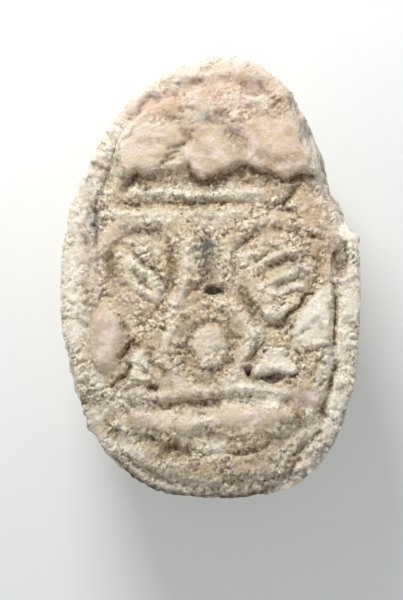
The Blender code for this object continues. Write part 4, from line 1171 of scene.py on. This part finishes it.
class SCARAB_OT_weather(bpy.types.Operator):
    """Roughens the sides and back with lumps and pits."""

    bl_idname = "scarab.weather"
    bl_label = "Weather the sides and back"

    def execute(self, context):
        weathering = context.scene.scarab_sizes.weathering
        stone = wrapped_stone()
        for name, size, part in WEATHER:
            texture = bpy.data.textures.new(name, "CLOUDS")
            texture.noise_scale = size * MM
            texture.noise_depth = 2
            apply_modifier(
                stone, "DISPLACE", name, texture=texture, texture_coords="LOCAL", mid_level=0.5,
                strength=weathering * part * 2, vertex_group="beyond_seal",
            )
            bpy.data.textures.remove(texture)
        put_places(stone, places(stone))
        return {"FINISHED"}


class SCARAB_OT_carve(bpy.types.Operator):
    """Works the hand-cut lines, the crust and the grit into the seal face."""

    bl_idname = "scarab.carve"
    bl_label = "Carve the seal face"

    def execute(self, context):
        sizes = context.scene.scarab_sizes
        stone = wrapped_stone()
        points, facing = places(stone), vectors(stone, "normal")
        seal = on_seal(points, facing)
        plan = points[:, :2].copy()
        course = wandering(plan, sizes.wander / MM)

        # Wear softens the solid's own lines, but hardly the head crust and its broken step.
        worn = relaxed(points, edge_pairs(stone), sizes.softening)
        points += HOLE_WEAR * in_string_hole(points, facing)[:, None] * (worn - points)
        crust = ramp(plan[:, 1], *HEAD_CRUST_FROM) * ramp(points[:, 2], *HEAD_CRUST_LEVEL)
        spared = CRUST_SPARED * crust
        points[:, 2] += seal * (1 - spared) * (worn[:, 2] - points[:, 2])

        cut = strongest(course, SEAL_CUTS, SIZE_UNIT)
        raised = strongest(course, SEAL_RIDGES, SIZE_UNIT)
        smooth = strongest(course, SMOOTH_PLACES)
        soil = 0.9 * np.clip(cut / SOILED_DEPTH, 0, 1)
        soil = np.maximum(soil, strongest(course, SOIL_PLACES))
        lifted = np.zeros(len(plan))
        for rise, edge, _, _, finish, outline in AREAS:
            found = within(course, outline, edge)
            lifted += rise / SIZE_UNIT * found
            smooth = np.maximum(smooth, finish * found)
            soil = np.maximum(soil, -finish * found)

        rough = (1 - 0.9 * smooth) * (0.35 + 0.9 * gritty_places(plan))
        height = sizes.carving * (lifted + raised - cut)
        height += sizes.lumps / MM * uneven_pair(plan, 0.75, 0.38, 0.7, 1) * (0.5 + 0.5 * rough)
        grit = sizes.grit / MM * uneven_pair(plan, 0.2, 0.13, 0.8, 3)
        height += (grit + sizes.grains / MM * unevenness(plan, 0.085, 5)) * rough
        height += sizes.crumbs / MM * crumbly(course) * rough
        points[:, 2] += seal * np.maximum(height, -sizes.deepest / MM)

        # The rim's outline is pushed in and out.
        edge = ramp(points[:, 2], *EDGE_LEVEL) * (1 - ramp(facing[:, 2], *EDGE_UPWARD))
        push = uneven_pair(plan + 2.3 * points[:, 2:3], 0.55, 0.22, 0.7, 31)
        for axis in (0, 1):
            points[:, axis] += sizes.ragged / MM * edge * facing[:, axis] * push
        put_places(stone, points)
        store(stone, "soil", soil * seal)
        # Ridge heights that set the pale ridge tops, partly bleaching and partly painted highlight.
        store(stone, "raised", np.clip(raised / BLEACH_AND_HIGHLIGHT_HEIGHT, 0, 1) * seal)
        store(stone, "glazed", smooth * seal)
        return {"FINISHED"}


class SCARAB_OT_stain(bpy.types.Operator):
    """Lays soil, stains, bleached spots, painted shade and painted highlights on the stone, and gives
    it its material.
    """

    bl_idname = "scarab.stain"
    bl_label = "Stain the stone"

    def execute(self, context):
        sizes, colours = context.scene.scarab_sizes, context.scene.scarab_colours
        stone = wrapped_stone("soil")
        points, facing = places(stone), vectors(stone, "normal")
        seal = on_seal(points, facing)
        plan = points[:, :2]
        course = wandering(plan, 1.6 * sizes.wander / MM)
        pairs = edge_pairs(stone)
        fine = ((relaxed(points, pairs, 4) - points) * facing).sum(axis=1)
        broad = ((relaxed(points, pairs, 40) - points) * facing).sum(axis=1)
        soil, glazed, raised = (stored(stone, name) for name in ("soil", "glazed", "raised"))

        def tone(name):
            return np.array(getattr(colours, name)[:])

        def lay(name, amount):
            nonlocal paint
            amount = np.clip(amount, 0, 1)[:, None]
            paint = paint * (1 - amount) + tone(name) * amount

        def lay_stains(dark):
            for name, strength, width, line in STAINS:
                if (name in DARK_STAINS) == dark:
                    lay(name, strength * nearness(course, line, width) * ragged)

        # The bare stone and its patches.
        across = plan[:, 0] / FIELD_HALF_WIDTH
        along = (plan[:, 1] - FIELD_MIDDLE_Y) / FIELD_HALF_LENGTH
        inside = (ramp(1 - across**2 - along**2, *FIELD_EDGE) * seal)[:, None]
        paint = tone("shell") * (1 - inside) + tone("field") * inside
        slanted = plan + 0.7 * points[:, 2:3]
        patches, tinges = unevenness(slanted, 0.6, 41), unevenness(slanted, 0.42, 43)
        lay("ochre", 0.3 * ramp(patches, 0.0, 0.8))
        lay("chalk", 0.25 * ramp(-patches, 0.1, 0.9))
        lay("blush", 0.3 * ramp(tinges, 0.1, 0.8))
        lay("olive", 0.16 * ramp(-tinges, 0.2, 0.8))

        # Light stains, painted highlights, the colours of lobes and plates, and flecks in what is
        # glazed.
        ragged = (0.75 + 0.5 * unevenness(plan, 0.16, 51)) * ramp(points[:, 2], *STAINED_LEVEL)
        lay_stains(dark=False)
        for _, edge, name, strength, _, outline in AREAS:
            lay(name, strength * within(course, outline, edge) * ragged)
        flecks = uneven_pair(plan, 0.3, 0.15, 0.6, 44)
        lay("ochre", 0.55 * glazed * ramp(flecks, 0.1, 1.0))
        lay("rose", 0.75 * glazed * ramp(-flecks, 0.1, 1.0))

        # Painted highlights, partly bleaching, on bulges and ridges; pale crumbs; painted shade, partly
        # soil, in hollows.
        # Painted highlight on bulging edges and grains, partly also bleached edges.
        lay("straw", 0.5 * ramp(-fine, 0.004, 0.022) * (1 - 0.6 * glazed))
        # Painted shade in fine creases, partly also soil.
        lay("olive", 0.6 * ramp(fine, 0.006, 0.026) * (1 - 0.7 * glazed))
        # Painted shade in broad hollows, partly also soil.
        lay("umber", 0.6 * ramp(broad, 0.03, 0.12))
        # Pale ridge tops, partly bleaching and partly painted highlight.
        lay("chalk", 0.55 * raised * (1 - 0.5 * glazed))
        lumpy = crumbly(plan)
        lay("chalk", 0.45 * seal * ramp(lumpy, 0.15, 0.9) * (1 - glazed))
        lay("ochre", 0.3 * seal * ramp(-lumpy, 0.3, 1.3) * (1 - glazed))

        # Dark stains with the painted shade along the outer edge and below the crust, loose soil, and
        # painted shade in the string hole.
        lay_stains(dark=True)
        specks = uneven_pair(plan, 0.085, 0.2, 0.5, 61)
        lay("olive", 0.55 * soil)
        lay("umber", 0.8 * soil * ramp(specks, -0.25, 0.7))
        lay("chalk", 0.6 * soil * ramp(unevenness(plan, 0.075, 63), 0.45, 0.8))
        # Painted shade inside the string hole.
        lay("umber", 0.75 * in_string_hole(points, facing))
        store_colour(stone, "paint", paint)
        bare = 0.55 + seal * (0.45 - 0.6 * (1 - gritty_places(plan)))
        store(stone, "gritty", np.clip(bare * (1 - 0.8 * glazed) + 0.5 * soil, 0, 1))

        stone.data.materials.clear()
        stone.data.materials.append(glazed_soapstone())
        only(stone)
        bpy.ops.object.shade_smooth()
        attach(stone, "root")
        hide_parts("scarab")
        return {"FINISHED"}


def set_ramp(node, stops):
    """Gives a colour ramp its stops, each a place and a colour."""
    elements = node.color_ramp.elements
    for stop, (where, shade) in zip(elements, (stops[0], stops[-1])):
        stop.position, stop.color = where, (*shade, 1.0)
    for where, shade in stops[1:-1]:
        elements.new(where).color = (*shade, 1.0)


def glazed_soapstone():
    """Dry, gritty soapstone with soil in its pores and a dull gleam where glaze is left."""
    material = bpy.data.materials.new("worn glazed soapstone")
    material.use_nodes = True
    tree = material.node_tree
    shader = tree.nodes["Principled BSDF"]
    shader.inputs["Specular IOR Level"].default_value = STONE_SPECULAR

    def add(kind, spot, **settings):
        node = tree.nodes.new("ShaderNode" + kind)
        node.location = spot
        for key, value in settings.items():
            if hasattr(node, key):
                setattr(node, key, value)
            else:
                node.inputs[key.replace("_", " ")].default_value = value
        return node

    def join(node, output, other, socket):
        tree.links.new(node.outputs[output], other.inputs[socket])

    coords = add("TexCoord", (-1400, 0))
    paint = add("Attribute", (-1000, 500), attribute_name="paint")
    glazed = add("Attribute", (-1000, 200), attribute_name="glazed")
    gritty = add("Attribute", (-760, 700), attribute_name="gritty")

    # Soil in the pores darkens the paint where the stone is gritty.
    speckle = add("TexNoise", (-1000, 0), Scale=SPECKLE_SCALE, Detail=4.0, Roughness=0.7)
    join(coords, "Object", speckle, "Vector")
    pores = add("ValToRGB", (-760, 0))
    dark, grey, light, white = (0.115, 0.085, 0.06), (0.5,) * 3, (0.68,) * 3, (1.0,) * 3
    set_ramp(pores, ((0.35, dark), (0.42, grey), (0.57, light), (0.68, white)))
    join(speckle, "Fac", pores, "Fac")
    brighter = add("VectorMath", (-640, 200), operation="SCALE", Scale=SPECKLE_GAIN)
    join(pores, "Color", brighter, "Vector")
    speckled = add("Mix", (-520, 400), data_type="RGBA", blend_type="MULTIPLY")
    join(gritty, "Fac", speckled, "Factor")
    join(paint, "Color", speckled, "A")
    join(brighter, "Vector", speckled, "B")

    # Broader, faint warm and cool tinges.
    tint = add("TexNoise", (-1000, -300), Scale=TINGE_SCALE, Detail=3.0, Roughness=0.6)
    join(coords, "Object", tint, "Vector")
    warm = add("ValToRGB", (-760, -300))
    set_ramp(warm, ((0.35, (0.96, 0.98, 1.0)), (0.65, (1.03, 1.0, 0.95))))
    join(tint, "Fac", warm, "Fac")
    tinted = add("Mix", (-280, 400), data_type="RGBA", blend_type="MULTIPLY")
    tinted.inputs["Factor"].default_value = TINGE_STRENGTH
    join(speckled, "Result", tinted, "A")
    join(warm, "Color", tinted, "B")
    join(tinted, "Result", shader, "Base Color")

    # Glaze is smoother, and the pores are felt as well as seen.
    gloss = add("MapRange", (-520, 100), To_Min=STONE_ROUGHNESS, To_Max=GLAZE_ROUGHNESS)
    join(glazed, "Fac", gloss, "Value")
    join(gloss, "Result", shader, "Roughness")
    bump = add("Bump", (-280, -200), Strength=0.9, Distance=PORE_DEPTH)
    join(speckle, "Fac", bump, "Height")
    join(bump, "Normal", shader, "Normal")
    return material


class SCARAB_OT_stage(bpy.types.Operator):
    """Lays the pale floor and sets the soft lamp, the even surround and the camera."""

    bl_idname = "scarab.stage"
    bl_label = "Set the stage"

    def execute(self, context):
        stage = context.scene.scarab_stage
        bpy.ops.object.select_all(action="DESELECT")
        bpy.ops.mesh.primitive_plane_add(size=stage.floor_size, location=(0, 0, 0))
        floor = context.object
        floor.name = "floor"
        paper = bpy.data.materials.new("pale paper")
        paper.use_nodes = True
        shader = paper.node_tree.nodes["Principled BSDF"]
        shader.inputs["Base Color"].default_value = (*stage.floor_colour, 1.0)
        shader.inputs["Roughness"].default_value = 0.95
        floor.data.materials.append(paper)
        bpy.ops.object.light_add(type="AREA", location=stage.lamp_place)
        lamp = context.object
        lamp.name = "soft_lamp"
        lamp.data.energy = stage.lamp_power
        lamp.data.size = stage.lamp_size
        lamp.data.color = (1.0, 0.985, 0.96)
        lamp.rotation_euler = Vector(stage.lamp_place).to_track_quat("Z", "Y").to_euler()
        world = bpy.data.worlds.new("even surround")
        world.use_nodes = True
        sky = world.node_tree.nodes["Background"]
        sky.inputs["Color"].default_value = (0.97, 0.985, 1.0, 1.0)
        sky.inputs["Strength"].default_value = stage.surround
        context.scene.world = world
        bpy.ops.object.camera_add(location=stage.camera_place, rotation=(0, 0, 0))
        camera = context.object
        camera.data.lens = stage.lens
        camera.data.sensor_width = 36.0
        camera.data.clip_start = 0.001
        camera.data.clip_end = 10.0
        context.scene.camera = camera
        context.scene.view_settings.view_transform = "Standard"
        return {"FINISHED"}


STEPS = (SCARAB_OT_skin, SCARAB_OT_weather, SCARAB_OT_carve, SCARAB_OT_stain, SCARAB_OT_stage)


class SCARAB_PT_panel(bpy.types.Panel):
    """Sizes, colours and steps of the scarab."""

    bl_label = "Scarab Amulet"
    bl_idname = "SCARAB_PT_panel"
    bl_space_type = "VIEW_3D"
    bl_region_type = "UI"
    bl_category = "Scarab"

    def draw(self, context):
        scene = context.scene
        for title, group in (
            ("Sizes", scene.scarab_sizes),
            ("Colours", scene.scarab_colours),
            ("Stage", scene.scarab_stage),
        ):
            box = self.layout.box()
            box.label(text=title)
            for key in group.bl_rna.properties.keys():
                if key not in ("rna_type", "name"):
                    box.prop(group, key)
        for step in STEPS:
            self.layout.operator(step.bl_idname)


CLASSES = (ScarabSizes, ScarabColours, ScarabStage) + STEPS + (SCARAB_PT_panel,)


def register():
    for kind in CLASSES:
        bpy.utils.register_class(kind)
    bpy.types.Scene.scarab_sizes = PointerProperty(type=ScarabSizes)
    bpy.types.Scene.scarab_colours = PointerProperty(type=ScarabColours)
    bpy.types.Scene.scarab_stage = PointerProperty(type=ScarabStage)


def unregister():
    del bpy.types.Scene.scarab_stage
    del bpy.types.Scene.scarab_colours
    del bpy.types.Scene.scarab_sizes
    for kind in reversed(CLASSES):
        bpy.utils.unregister_class(kind)


def main():
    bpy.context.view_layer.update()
    register()
    bpy.ops.scarab.skin()
    bpy.ops.scarab.weather()
    bpy.ops.scarab.carve()
    bpy.ops.scarab.stain()
    bpy.ops.scarab.stage()


if __name__ == "__main__":
    main()
